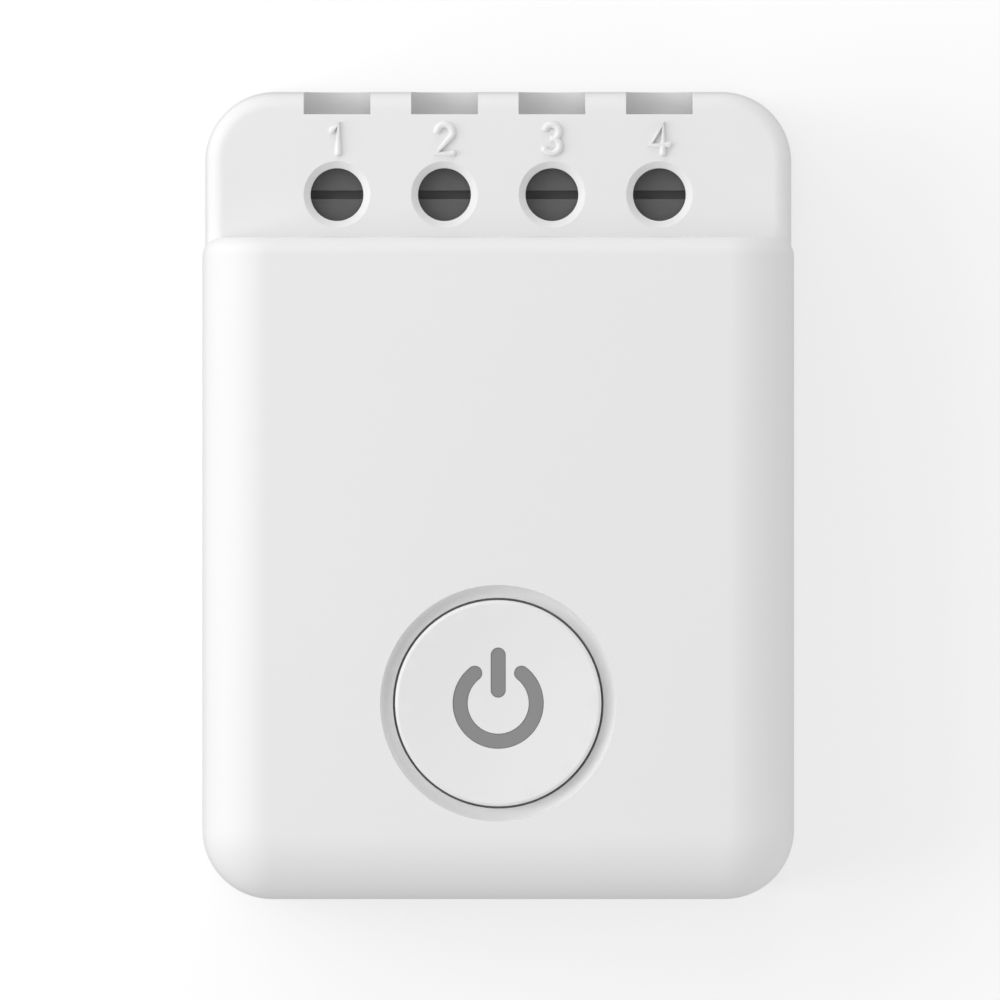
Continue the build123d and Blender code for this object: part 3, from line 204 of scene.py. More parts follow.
class RelayModuleColours(bpy.types.PropertyGroup):
    """Colours of the visible pieces, as linear values."""

    case: FloatVectorProperty(
        name="Case", description="White of the case mouldings", subtype="COLOR",
        size=4, default=(0.80, 0.80, 0.80, 1.0), min=0.0, max=1.0,
    )
    button: FloatVectorProperty(
        name="Button", description="White of the button cap", subtype="COLOR",
        size=4, default=(0.80, 0.80, 0.80, 1.0), min=0.0, max=1.0,
    )
    icon: FloatVectorProperty(
        name="Icon", description="Grey of the unlit light guide", subtype="COLOR",
        size=4, default=(0.25, 0.25, 0.25, 1.0), min=0.0, max=1.0,
    )
    # Dark steel, made darker still as painted shade: the colour stands in for the shade deep in the
    # driver holes
    terminal_screw: FloatVectorProperty(
        name="Terminal screw", description="Dark passivated steel", subtype="COLOR",
        size=4, default=(0.14, 0.14, 0.14, 1.0), min=0.0, max=1.0,
    )


class RelayModuleStage(bpy.types.PropertyGroup):
    """The floor, lamps and camera."""

    sky: FloatProperty(
        name="Sky", description="Level of the even light all round", default=0.55,
    )
    key: FloatProperty(
        name="Key lamp", description="Level of the high lamp at the upper left", default=0.17,
    )
    side: FloatProperty(
        name="Side lamp", description="Level of the high lamp on the left", default=0.21,
    )
    left: FloatProperty(
        name="Left lamp", description="Level of the low lamp on the left", default=0.35,
    )
    right: FloatProperty(
        name="Right lamp", description="Level of the low lamp on the right", default=0.11,
    )
    low: FloatProperty(
        name="Low lamp", description="Level of the low lamp at the lower right", default=0.14,
    )
    end: FloatProperty(
        name="End lamp", description="Level of the low lamp past the terminals", default=0.22,
    )
    floor_lift: FloatProperty(
        name="Floor lift", description="Share of plain white in the floor as the camera sees it",
        default=0.5, min=0.0, max=1.0,
    )
    lens: FloatProperty(
        name="Lens", description="Focal length in millimetres, long for a nearly flat view",
        default=1000.0,
    )
    view_width: FloatProperty(
        name="View width", description="Width of the picture at the height of the shelf",
        default=69.767 * MM, unit="LENGTH",
    )
    view_x: FloatProperty(
        name="View X", description="Where the camera looks, across",
        default=0.126 * MM, unit="LENGTH",
    )
    view_y: FloatProperty(
        name="View Y", description="Where the camera looks, along",
        default=-0.314 * MM, unit="LENGTH",
    )


# Shared shader groups


def new_group(name, inputs, outputs):
    """An empty shader group with named sockets."""
    group = bpy.data.node_groups.new(name, "ShaderNodeTree")
    for label, kind, default in inputs:
        socket = group.interface.new_socket(label, in_out="INPUT", socket_type=kind)
        if default is not None:
            socket.default_value = default
    for label, kind in outputs:
        group.interface.new_socket(label, in_out="OUTPUT", socket_type=kind)
    return group, group.nodes.new("NodeGroupInput"), group.nodes.new("NodeGroupOutput")


def feed(tree, value, socket):
    """Sets a socket to a plain value, or links another socket to it."""
    if isinstance(value, (int, float, tuple)):
        socket.default_value = value
    else:
        tree.links.new(value, socket)


def math_node(tree, operation, first, second, third=None):
    """A math node on sockets or numbers, by its output."""
    node = tree.nodes.new("ShaderNodeMath")
    node.operation = operation
    for place, value in enumerate((first, second, third)):
        if value is not None:
            feed(tree, value, node.inputs[place])
    return node.outputs[0]


def noise(tree, vector, scale, detail=2.0):
    """A noise pattern on a vector, by its value from 0 to 1."""
    node = tree.nodes.new("ShaderNodeTexNoise")
    node.inputs["Detail"].default_value = detail
    tree.links.new(vector, node.inputs["Vector"])
    feed(tree, scale, node.inputs["Scale"])
    return node.outputs[0]


def varied(tree, base, pattern, amount):
    """A value that a pattern from 0 to 1 moves up and down."""
    swing = math_node(tree, "MULTIPLY", math_node(tree, "SUBTRACT", pattern, 0.5), amount)
    return math_node(tree, "ADD", base, swing)


def toned(tree, colour, pattern, amount):
    """A colour made darker and lighter by a pattern from 0 to 1."""
    level = varied(tree, 1.0, pattern, amount)
    grey = tree.nodes.new("ShaderNodeCombineColor")
    for place in range(3):
        tree.links.new(level, grey.inputs[place])
    mix = tree.nodes.new("ShaderNodeMix")
    mix.data_type = "RGBA"
    mix.blend_type = "MULTIPLY"
    mix.inputs[MIX_FACTOR].default_value = 1.0
    feed(tree, colour, mix.inputs[MIX_FIRST])
    tree.links.new(grey.outputs[0], mix.inputs[MIX_SECOND])
    return mix.outputs[MIX_RESULT]


SURFACE_INPUTS = [
    ("Vector", "NodeSocketVector", None),
    ("Colour", "NodeSocketColor", (0.8, 0.8, 0.8, 1.0)),
    ("Tone Change", "NodeSocketFloat", 0.02),
    ("Roughness", "NodeSocketFloat", 0.4),
    ("Roughness Change", "NodeSocketFloat", 0.08),
    ("Pattern Scale", "NodeSocketFloat", 3000.0),
]
SURFACE_OUTPUTS = [
    ("Colour", "NodeSocketColor"),
    ("Roughness", "NodeSocketFloat"),
    ("Height", "NodeSocketFloat"),
]


def close_group(group, sockets, leave):
    """Joins the three results of a surface group to its output."""
    for label, socket in zip(("Colour", "Roughness", "Height"), sockets):
        group.links.new(socket, leave.inputs[label])
    return group


def moulded_group():
    """Fine spark-eroded grain of a moulding, with a slow change of tone and gloss."""
    group, enter, leave = new_group("Moulded surface", SURFACE_INPUTS, SURFACE_OUTPUTS)
    vector = enter.outputs["Vector"]
    slow = noise(group, vector, MOULD_CLOUD_SCALE)
    fine = noise(group, vector, enter.outputs["Pattern Scale"], detail=1.0)
    colour = toned(group, enter.outputs["Colour"], slow, enter.outputs["Tone Change"])
    rough = varied(group, enter.outputs["Roughness"], slow, enter.outputs["Roughness Change"])
    return close_group(group, (colour, rough, fine), leave)


def drawn_group():
    """Straight streaks of drawn or stamped metal, with blotches of plating."""
    group, enter, leave = new_group("Drawn metal", SURFACE_INPUTS, SURFACE_OUTPUTS)
    stretch = group.nodes.new("ShaderNodeVectorMath")
    stretch.operation = "MULTIPLY"
    stretch.inputs[1].default_value = STREAK_STRETCH
    group.links.new(enter.outputs["Vector"], stretch.inputs[0])
    streaks = noise(group, stretch.outputs[0], enter.outputs["Pattern Scale"], detail=3.0)
    blotch = noise(group, enter.outputs["Vector"], PLATING_CLOUD_SCALE)
    colour = toned(group, enter.outputs["Colour"], blotch, enter.outputs["Tone Change"])
    rough = varied(group, enter.outputs["Roughness"], streaks, enter.outputs["Roughness Change"])
    return close_group(group, (colour, rough, streaks), leave)


def laminate_group():
    """Solder mask over straight copper tracks, which show as lighter fields with thin gaps."""
    group, enter, leave = new_group("Solder mask", SURFACE_INPUTS, SURFACE_OUTPUTS)
    tracks = group.nodes.new("ShaderNodeTexBrick")
    tracks.offset = TRACK_SHIFT
    for label, value in (
        ("Color1", BLACK), ("Color2", WHITE), ("Mortar", BLACK),
        ("Mortar Size", TRACK_GAP), ("Mortar Smooth", TRACK_GAP_SOFTNESS),
        ("Brick Width", TRACK_LENGTH), ("Row Height", TRACK_PITCH),
    ):
        tracks.inputs[label].default_value = value
    group.links.new(enter.outputs["Vector"], tracks.inputs["Vector"])
    group.links.new(enter.outputs["Pattern Scale"], tracks.inputs["Scale"])
    field = toned(group, enter.outputs["Colour"], tracks.outputs[0], TRACK_TONE)
    gaps = math_node(group, "MULTIPLY_ADD", tracks.outputs[1], -0.5, 0.5)
    gapped = toned(group, field, gaps, TRACK_GAP_TONE)
    speck = noise(group, enter.outputs["Vector"], MASK_SPECK_SCALE)
    colour = toned(group, gapped, speck, enter.outputs["Tone Change"])
    rough = varied(group, enter.outputs["Roughness"], speck, enter.outputs["Roughness Change"])
    return close_group(group, (colour, rough, gaps), leave)


def wrapped_group():
    """Overlapping turns of tape or a shrunk sleeve, as soft bands across a piece."""
    group, enter, leave = new_group("Wrapped film", SURFACE_INPUTS, SURFACE_OUTPUTS)
    wave = group.nodes.new("ShaderNodeTexWave")
    wave.wave_profile = "SAW"
    wave.inputs["Distortion"].default_value = WRAP_WAVER
    group.links.new(enter.outputs["Vector"], wave.inputs["Vector"])
    group.links.new(enter.outputs["Pattern Scale"], wave.inputs["Scale"])
    cloud = noise(group, enter.outputs["Vector"], WRAP_CLOUD_SCALE)
    colour = toned(group, enter.outputs["Colour"], wave.outputs[1], enter.outputs["Tone Change"])
    rough = varied(group, enter.outputs["Roughness"], cloud, enter.outputs["Roughness Change"])
    return close_group(group, (colour, rough, wave.outputs[1]), leave)


def grained_group():
    """Coarse grain of sintered ferrite, dipped coatings and moulding compound."""
    group, enter, leave = new_group("Grained surface", SURFACE_INPUTS, SURFACE_OUTPUTS)
    cells = group.nodes.new("ShaderNodeTexVoronoi")
    group.links.new(enter.outputs["Vector"], cells.inputs["Vector"])
    group.links.new(enter.outputs["Pattern Scale"], cells.inputs["Scale"])
    fine = noise(group, enter.outputs["Vector"], GRAIN_SPECK_SCALE)
    colour = toned(group, enter.outputs["Colour"], fine, enter.outputs["Tone Change"])
    rough = varied(group, enter.outputs["Roughness"], fine, enter.outputs["Roughness Change"])
    return close_group(group, (colour, rough, cells.outputs[0]), leave)


SURFACES = {
    "moulded": moulded_group(),
    "drawn": drawn_group(),
    "laminate": laminate_group(),
    "wrapped": wrapped_group(),
    "grained": grained_group(),
}


def finish(name, surface, colour, roughness, metallic=0.0, tone=0.04, change=0.1, scale=3000.0,
           bump=0.2, depth=0.01 * MM, coat=0.0):
    """A finished material: one surface group before a Principled BSDF."""
    material = bpy.data.materials.new(name)
    material.use_nodes = True
    material.diffuse_color = colour
    tree = material.node_tree
    tree.nodes.clear()
    place = tree.nodes.new("ShaderNodeTexCoord")
    group = tree.nodes.new("ShaderNodeGroup")
    group.node_tree = SURFACES[surface]
    for label, value in (
        ("Colour", colour), ("Tone Change", tone), ("Roughness", roughness),
        ("Roughness Change", change), ("Pattern Scale", scale),
    ):
        group.inputs[label].default_value = value
    tree.links.new(place.outputs["Object"], group.inputs["Vector"])
    relief = tree.nodes.new("ShaderNodeBump")
    relief.inputs["Strength"].default_value = bump
    relief.inputs["Distance"].default_value = depth
    tree.links.new(group.outputs["Height"], relief.inputs["Height"])
    shader = tree.nodes.new("ShaderNodeBsdfPrincipled")
    shader.inputs["Metallic"].default_value = metallic
    shader.inputs["Coat Weight"].default_value = coat
    shader.inputs["Coat Roughness"].default_value = COAT_ROUGHNESS
    tree.links.new(group.outputs["Colour"], shader.inputs["Base Color"])
    tree.links.new(group.outputs["Roughness"], shader.inputs["Roughness"])
    tree.links.new(relief.outputs["Normal"], shader.inputs["Normal"])
    leave = tree.nodes.new("ShaderNodeOutputMaterial")
    tree.links.new(shader.outputs[0], leave.inputs["Surface"])
    return material


def finishes(colours):
    """Every finish by the record's material slot."""
    grey_steel = (0.55, 0.55, 0.56, 1.0)
    return {
        "case_plastic": finish(
            "White moulding", "moulded", tuple(colours.case), 0.5,
            tone=0.012, change=0.05, scale=4200.0, bump=0.1, depth=0.006 * MM,
        ),
        "button_plastic": finish(
            "Button plastic", "moulded", tuple(colours.button), 0.45,
            tone=0.012, change=0.05, scale=5200.0, bump=0.08, depth=0.005 * MM,
        ),
        "icon_plastic": finish(
            "Icon light guide", "moulded", tuple(colours.icon), 0.4,
            tone=0.05, scale=5200.0, bump=0.08, depth=0.005 * MM,
        ),
        "screw_steel": finish(
            "Zinc screw", "grained", grey_steel, 0.34, metallic=1.0, tone=0.08, change=0.14, scale=7000.0,
        ),
        # The terminal screws' dark colour is partly dark steel and partly painted shade for the deep
        # driver holes
        "dark_steel": finish(
            "Terminal screw with painted shade", "grained", tuple(colours.terminal_screw), 0.55,
            metallic=0.2, tone=0.08, change=0.12, scale=9000.0, bump=0.15,
        ),
        "housing_plastic": finish("Terminal housing", "moulded", (0.62, 0.62, 0.62, 1.0), 0.5, tone=0.03),
        "cage_steel": finish(
            "Cage steel", "drawn", grey_steel, 0.36, metallic=1.0, tone=0.08, change=0.16, scale=5200.0,
        ),
        "bar_brass": finish(
            "Brass bar", "drawn", (0.72, 0.52, 0.25, 1.0), 0.3,
            metallic=1.0, tone=0.1, change=0.16, scale=5200.0,
        ),
        "board_laminate": finish(
            "Board laminate", "laminate", (0.03, 0.16, 0.07, 1.0), 0.38,
            tone=0.1, change=0.1, scale=380.0, bump=0.5, depth=0.03 * MM, coat=0.3,
        ),
        "relay_plastic": finish("Relay cover", "moulded", (0.03, 0.08, 0.28, 1.0), 0.3, coat=0.2),
        "black_plastic": finish(
            "Moulding compound", "grained", (0.02, 0.02, 0.02, 1.0), 0.55,
            tone=0.3, change=0.15, scale=9000.0, bump=0.3,
        ),
        "pale_plastic": finish("Natural polyamide", "moulded", (0.72, 0.68, 0.55, 1.0), 0.45, tone=0.06),
        "winding_copper": finish(
            "Enamelled copper", "drawn", (0.55, 0.22, 0.08, 1.0), 0.28,
            metallic=1.0, tone=0.16, change=0.12, scale=6000.0, coat=0.5,
        ),
        "soft_iron": finish(
            "Nickel plated iron", "drawn", (0.45, 0.45, 0.44, 1.0), 0.38,
            metallic=1.0, tone=0.1, change=0.16, scale=4200.0,
        ),
        "ferrite": finish(
            "Ferrite", "grained", (0.05, 0.05, 0.055, 1.0), 0.7,
            tone=0.4, change=0.2, scale=7000.0, bump=0.5, depth=0.02 * MM,
        ),
        "winding_tape": finish(
            "Winding tape", "wrapped", (0.75, 0.55, 0.05, 1.0), 0.3,
            tone=0.12, change=0.1, scale=420.0, bump=0.4, depth=0.03 * MM, coat=0.4,
        ),
        "capacitor_sleeve": finish(
            "Capacitor sleeve", "wrapped", (0.02, 0.04, 0.06, 1.0), 0.3,
            tone=0.3, change=0.12, scale=260.0, depth=0.02 * MM, coat=0.5,
        ),
        "varistor_coat": finish(
            "Varistor coat", "grained", (0.05, 0.12, 0.45, 1.0), 0.5,
            tone=0.15, change=0.15, scale=2600.0, bump=0.4, depth=0.03 * MM,
        ),
        "fuse_coat": finish(
            "Fuse lacquer", "grained", (0.15, 0.35, 0.2, 1.0), 0.5,
            tone=0.15, change=0.15, scale=2600.0, bump=0.4, depth=0.03 * MM,
        ),
        "tinned_metal": finish(
            "Tinned metal", "drawn", (0.6, 0.6, 0.6, 1.0), 0.3,
            metallic=1.0, tone=0.1, change=0.14, scale=4200.0,
        ),
        "lamp_plastic": finish("Lamp lens", "moulded", (0.8, 0.8, 0.7, 1.0), 0.2, coat=0.5),
    }


FINISHES = {}


def palette():
    """The finishes, made once."""
    if not FINISHES:
        FINISHES.update(finishes(bpy.context.scene.relay_module_colours))
    return FINISHES


# Mesh helpers


def new_object(name, data):
    """A new object, put in the scene."""
    thing = bpy.data.objects.new(name, data)
    bpy.context.scene.collection.objects.link(thing)
    return thing


def put_in_scene(name, mesh, slot, body):
    """Makes a finished mesh a piece that rides on a body."""
    piece = new_object(name, mesh)
    if not mesh.materials:
        mesh.materials.append(palette()[slot])
    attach(piece, body)
    return piece


def as_plain_mesh(source, name):
    """The evaluated shape of an object as a plain mesh; the object itself goes away."""
    graph = bpy.context.evaluated_depsgraph_get()
    mesh = bpy.data.meshes.new_from_object(source.evaluated_get(graph), depsgraph=graph)
    mesh.name = name
    if not mesh.polygons:
        raise RuntimeError(f"{name} came out empty")
    source.modifiers.clear()
    bpy.data.objects.remove(source)
    return mesh


def smooth_copy(node, name, slot, body):
    """A sub-part with its triangles joined and shaded smoothly, which stands in its place."""
    shape = bmesh.new()
    shape.from_mesh(NODES[node].data)
    bmesh.ops.remove_doubles(shape, verts=shape.verts, dist=MERGE_DISTANCE)
    limit = math.radians(SHARP_DEGREES)
    for face in shape.faces:
        face.smooth = True
        face.material_index = 0
    for edge in shape.edges:
        edge.smooth = len(edge.link_faces) == 2 and edge.calc_face_angle(0.0) < limit
    mesh = bpy.data.meshes.new(name)
    shape.to_mesh(mesh)
    shape.free()
    if "custom_normal" in mesh.attributes:
        mesh.attributes.remove(mesh.attributes["custom_normal"])
    draft = new_object(name + "_draft", mesh)
    weighted = draft.modifiers.new("Weighted normals", "WEIGHTED_NORMAL")
    weighted.keep_sharp = True
    weighted.weight = NORMAL_WEIGHT
    mesh = as_plain_mesh(draft, name)
    mesh.materials.clear()
    piece = put_in_scene(name, mesh, slot, body)
    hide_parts(node)
    return piece


def piece_tree(name, inputs, build, smooth=True):
    """A geometry tree with named inputs, ended by Realize Instances and Set Material."""
    tree = bpy.data.node_groups.new(name, "GeometryNodeTree")
    tree.interface.new_socket("Geometry", in_out="INPUT", socket_type="NodeSocketGeometry")
    for label, kind, default in inputs:
        socket = tree.interface.new_socket(label, in_out="INPUT", socket_type=kind)
        if default is not None:
            socket.default_value = default
    tree.interface.new_socket("Geometry", in_out="OUTPUT", socket_type="NodeSocketGeometry")
    enter = tree.nodes.new("NodeGroupInput")
    leave = tree.nodes.new("NodeGroupOutput")
    shape = build(tree, enter)
    shading = tree.nodes.new("GeometryNodeSetShadeSmooth")
    shading.inputs["Shade Smooth"].default_value = smooth
    realize = tree.nodes.new("GeometryNodeRealizeInstances")
    paint = tree.nodes.new("GeometryNodeSetMaterial")
    tree.links.new(shape, realize.inputs["Geometry"])
    tree.links.new(realize.outputs[0], shading.inputs["Geometry"])
    tree.links.new(shading.outputs[0], paint.inputs["Geometry"])
    tree.links.new(enter.outputs["Finish"], paint.inputs["Material"])
    tree.links.new(paint.outputs[0], leave.inputs["Geometry"])
    return tree


def run_tree(tree, source, values, name):
    """Runs a geometry tree on an object with values by input name, and keeps its plain mesh."""
    modifier = source.modifiers.new(tree.name, "NODES")
    modifier.node_group = tree
    for socket in tree.interface.items_tree:
        if socket.item_type == "SOCKET" and socket.in_out == "INPUT" and socket.name in values:
            modifier[socket.identifier] = values[socket.name]
    source.update_tag()
    bpy.context.view_layer.update()
    return as_plain_mesh(source, name)


def round_tube(tree, enter, path, thickness):
    """A closed round tube along a curve, and the socket of its radius."""
    radius = math_node(tree, "DIVIDE", enter.outputs[thickness], 2.0)
    profile = tree.nodes.new("GeometryNodeCurvePrimitiveCircle")
    tree.links.new(radius, profile.inputs["Radius"])
    tree.links.new(enter.outputs["Sides"], profile.inputs["Resolution"])
    tube = tree.nodes.new("GeometryNodeCurveToMesh")
    tube.inputs["Fill Caps"].default_value = True
    tree.links.new(path.outputs[0], tube.inputs["Curve"])
    tree.links.new(profile.outputs[0], tube.inputs["Profile Curve"])
    return tube.outputs[0], radius


def ridge_nodes(tree, enter):
    """A round ridge along every edge path, with a ball at each end."""
    path = tree.nodes.new("GeometryNodeMeshToCurve")
    tree.links.new(enter.outputs["Geometry"], path.inputs["Mesh"])
    tube, radius = round_tube(tree, enter, path, "Stroke")
    ends = tree.nodes.new("GeometryNodeCurveEndpointSelection")
    ball = tree.nodes.new("GeometryNodeMeshUVSphere")
    tree.links.new(radius, ball.inputs["Radius"])
    tree.links.new(enter.outputs["Sides"], ball.inputs["Segments"])
    dots = tree.nodes.new("GeometryNodeInstanceOnPoints")
    tree.links.new(path.outputs[0], dots.inputs["Points"])
    tree.links.new(ends.outputs[0], dots.inputs["Selection"])
    tree.links.new(ball.outputs["Mesh"], dots.inputs["Instance"])
    joined = tree.nodes.new("GeometryNodeJoinGeometry")
    tree.links.new(tube, joined.inputs[0])
    tree.links.new(dots.outputs[0], joined.inputs[0])
    return joined.outputs[0]


def helix_nodes(tree, enter):
    """A wire wound in one layer along Z, from the origin up."""
    spiral = tree.nodes.new("GeometryNodeCurveSpiral")
    spiral.inputs["Resolution"].default_value = TURN_STEPS
    tree.links.new(enter.outputs["Turns"], spiral.inputs["Rotations"])
    tree.links.new(enter.outputs["Coil Radius"], spiral.inputs["Start Radius"])
    tree.links.new(enter.outputs["Coil Radius"], spiral.inputs["End Radius"])
    tree.links.new(enter.outputs["Length"], spiral.inputs["Height"])
    return round_tube(tree, enter, spiral, "Wire")[0]


def sized_instances(tree, enter, mesh, turn=(0.0, 0.0, 0.0)):
    """A unit shape on every point, scaled by the size that the point carries."""
    size = tree.nodes.new("GeometryNodeInputNamedAttribute")
    size.data_type = "FLOAT_VECTOR"
    size.inputs["Name"].default_value = "piece_size"
    spread = tree.nodes.new("GeometryNodeInstanceOnPoints")
    spread.inputs["Rotation"].default_value = turn
    tree.links.new(enter.outputs["Geometry"], spread.inputs["Points"])
    tree.links.new(mesh, spread.inputs["Instance"])
    tree.links.new(size.outputs["Attribute"], spread.inputs["Scale"])
    return spread.outputs[0]


def box_nodes(tree, enter):
    """A box on every point."""
    return sized_instances(tree, enter, tree.nodes.new("GeometryNodeMeshCube").outputs["Mesh"])


def fillet_nodes(tree, enter):
    """A solder cone under every point, wide at the board and narrow at the lead."""
    cone = tree.nodes.new("GeometryNodeMeshCone")
    cone.inputs["Radius Bottom"].default_value = 1.0
    cone.inputs["Depth"].default_value = 1.0
    tree.links.new(enter.outputs["Sides"], cone.inputs["Vertices"])
    tree.links.new(enter.outputs["Tip Share"], cone.inputs["Radius Top"])
    return sized_instances(tree, enter, cone.outputs["Mesh"], (math.pi, 0.0, 0.0))


def sized_points(name, pieces):
    """An object whose bare points stand at the pieces' places and carry their sizes."""
    mesh = bpy.data.meshes.new(name)
    mesh.from_pydata([place for place, _ in pieces], [], [])
    sizes = mesh.attributes.new("piece_size", "FLOAT_VECTOR", "POINT")
    for point, (_, size) in enumerate(pieces):
        sizes.data[point].vector = size
    return new_object(name, mesh)


def solids(node):
    """The corners of each separate solid of a sub-part, as pairs of vectors."""
    shape = bmesh.new()
    shape.from_mesh(NODES[node].data)
    bmesh.ops.remove_doubles(shape, verts=shape.verts, dist=MERGE_DISTANCE)
    left = set(shape.verts)
    boxes = []
    while left:
        reached = [left.pop()]
        points = []
        while reached:
            point = reached.pop()
            points.append(point.co.copy())
            for edge in point.link_edges:
                other = edge.other_vert(point)
                if other in left:
                    left.remove(other)
                    reached.append(other)
        boxes.append((
            Vector([min(point[axis] for point in points) for axis in range(3)]),
            Vector([max(point[axis] for point in points) for axis in range(3)]),
        ))
    shape.free()
    return sorted(boxes, key=lambda box: tuple(round(value, 6) for value in box[0]))


def lead_feet(node, level, reach):
    """Where a sub-part's leads stand out below a level: each foot's centre and half width."""
    feet = []
    for point in sorted((tuple(vertex.co) for vertex in NODES[node].data.vertices)):
        if point[2] > level - LEVEL_SLACK:
            continue
        for foot in feet:
            if math.dist(foot[0], point[:2]) < reach:
                foot.append(point[:2])
                break
        else:
            feet.append([point[:2], point[:2]])
    spots = []
    for foot in feet:
        low = [min(point[axis] for point in foot) for axis in range(2)]
        high = [max(point[axis] for point in foot) for axis in range(2)]
        half_width = max(high[0] - low[0], high[1] - low[1]) / 2
        spots.append(((low[0] + high[0]) / 2, (low[1] + high[1]) / 2, half_width))
    return spots


def arc(centre, radius, start, end, steps=ARC_STEPS):
    """Points along an arc, by its angles in degrees, counted anticlockwise from the right."""
    points = []
    for step in range(steps + 1):
        angle = math.radians(start + (end - start) * step / steps)
        points.append((centre[0] + radius[0] * math.cos(angle), centre[1] + radius[1] * math.sin(angle)))
    return points


def numeral_paths():
    """Each number's strokes as shares of its height, centred on its place."""
    upper_bow = arc((-0.01, 0.245), (0.25, 0.255), 150, -88, steps=12)
    lower_bow = arc((-0.01, -0.245), (0.28, 0.255), 88, -152)
    return {
        1: [[(-0.17, 0.3), (0.04, 0.5), (0.04, -0.5)]],
        2: [arc((0.0, 0.23), (0.27, 0.27), 168, -32) + [(-0.28, -0.5), (0.29, -0.5)]],
        3: [upper_bow + lower_bow],
        4: [[(0.12, -0.5), (0.12, 0.5), (-0.32, -0.2), (0.32, -0.2)]],
    }


# Operators


class RELAYMODULE_OT_case(bpy.types.Operator):
    """Shade the two case mouldings smoothly in white satin plastic"""

    bl_idname = "relaymodule.case"
    bl_label = "Case mouldings"

    def execute(self, context):
        smooth_copy("front_cover", "cover_moulding", "case_plastic", "module")
        smooth_copy("rear_case", "rear_moulding", "case_plastic", "module")
        return {"FINISHED"}


class RELAYMODULE_OT_button(bpy.types.Operator):
    """Shade the dished button cap and its grey light guide"""

    bl_idname = "relaymodule.button"
    bl_label = "Button and icon"

    def execute(self, context):
        smooth_copy("power_button", "button_cap", "button_plastic", "button")
        smooth_copy("button_icon", "icon_guide", "icon_plastic", "button")
        return {"FINISHED"}


class RELAYMODULE_OT_terminal_screws(bpy.types.Operator):
    """Shade the four dark terminal screws"""

    bl_idname = "relaymodule.terminal_screws"
    bl_label = "Terminal screws"

    def execute(self, context):
        for number in POLES:
            node = f"terminal_screw_{number}"
            smooth_copy(node, f"clamp_screw_{number}", "dark_steel", f"screw_{number}")
        return {"FINISHED"}


class RELAYMODULE_OT_numerals(bpy.types.Operator):
    """Raise a plain number from 1 to 4 over each terminal"""

    bl_idname = "relaymodule.numerals"
    bl_label = "Terminal numbers"

    def execute(self, context):
        sizes = context.scene.relay_module_sizes
        tree = piece_tree(
            "Raised ridge",
            [
                ("Stroke", "NodeSocketFloat", sizes.numeral_stroke),
                ("Sides", "NodeSocketInt", RIDGE_SIDES),
                ("Finish", "NodeSocketMaterial", None),
            ],
            ridge_nodes,
        )
        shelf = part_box("front_cover")[1][2] - SHELF_DROP
        spine_height = sizes.numeral_height - sizes.numeral_stroke
        points = []
        edges = []
        for number, strokes in numeral_paths().items():
            screw = middle(f"terminal_screw_{number}")
            for stroke in strokes:
                first = len(points)
                for x, y in stroke:
                    points.append((
                        screw.x + x * spine_height,
                        screw.y + sizes.numeral_from_screw + y * spine_height,
                        shelf + sizes.numeral_rise,
                    ))
                edges += [(first + step, first + step + 1) for step in range(len(stroke) - 1)]
        mesh = bpy.data.meshes.new("numeral_strokes")
        mesh.from_pydata(points, edges, [])
        source = new_object("numeral_strokes", mesh)
        values = {
            "Stroke": sizes.numeral_stroke, "Sides": RIDGE_SIDES, "Finish": palette()["case_plastic"],
        }
        mesh = run_tree(tree, source, values, "terminal_numerals")
        put_in_scene("terminal_numerals", mesh, "case_plastic", "module")
        return {"FINISHED"}


class RELAYMODULE_OT_wire_turns(bpy.types.Operator):
    """Wind the outer layer of copper wire on the relay coil and on the inductor"""

    bl_idname = "relaymodule.wire_turns"
    bl_label = "Wire turns"

    def execute(self, context):
        sizes = context.scene.relay_module_sizes
        tree = piece_tree(
            "Wound wire",
            [
                ("Turns", "NodeSocketFloat", 30.0),
                ("Coil Radius", "NodeSocketFloat", 2.6 * MM),
                ("Length", "NodeSocketFloat", 8.0 * MM),
                ("Wire", "NodeSocketFloat", sizes.coil_wire),
                ("Sides", "NodeSocketInt", sizes.wire_sides),
                ("Finish", "NodeSocketMaterial", None),
            ],
            helix_nodes,
        )
        for node, name, wire, lies_along_x in (
            ("relay_winding", "relay_coil_turns", sizes.coil_wire, True),
            ("inductor_winding", "inductor_turns", sizes.choke_wire, False),
        ):
            low, high = (Vector(corner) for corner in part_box(node))
            centre = (low + high) / 2
            across = high.y - low.y
            length = (high.x - low.x if lies_along_x else high.z - low.z) - wire
            source = new_object(name + "_start", bpy.data.meshes.new(name + "_start"))
            values = {
                "Turns": float(int(length / wire)), "Coil Radius": across / 2 - wire / 2,
                "Length": length, "Wire": wire, "Sides": sizes.wire_sides,
                "Finish": palette()["winding_copper"],
            }
            mesh = run_tree(tree, source, values, name)
            for point in mesh.vertices:
                x, y, z = point.co
                z -= length / 2
                point.co = centre + (Vector((z, x, y)) if lies_along_x else Vector((x, y, z)))
            put_in_scene(name, mesh, "winding_copper", "module")
        return {"FINISHED"}


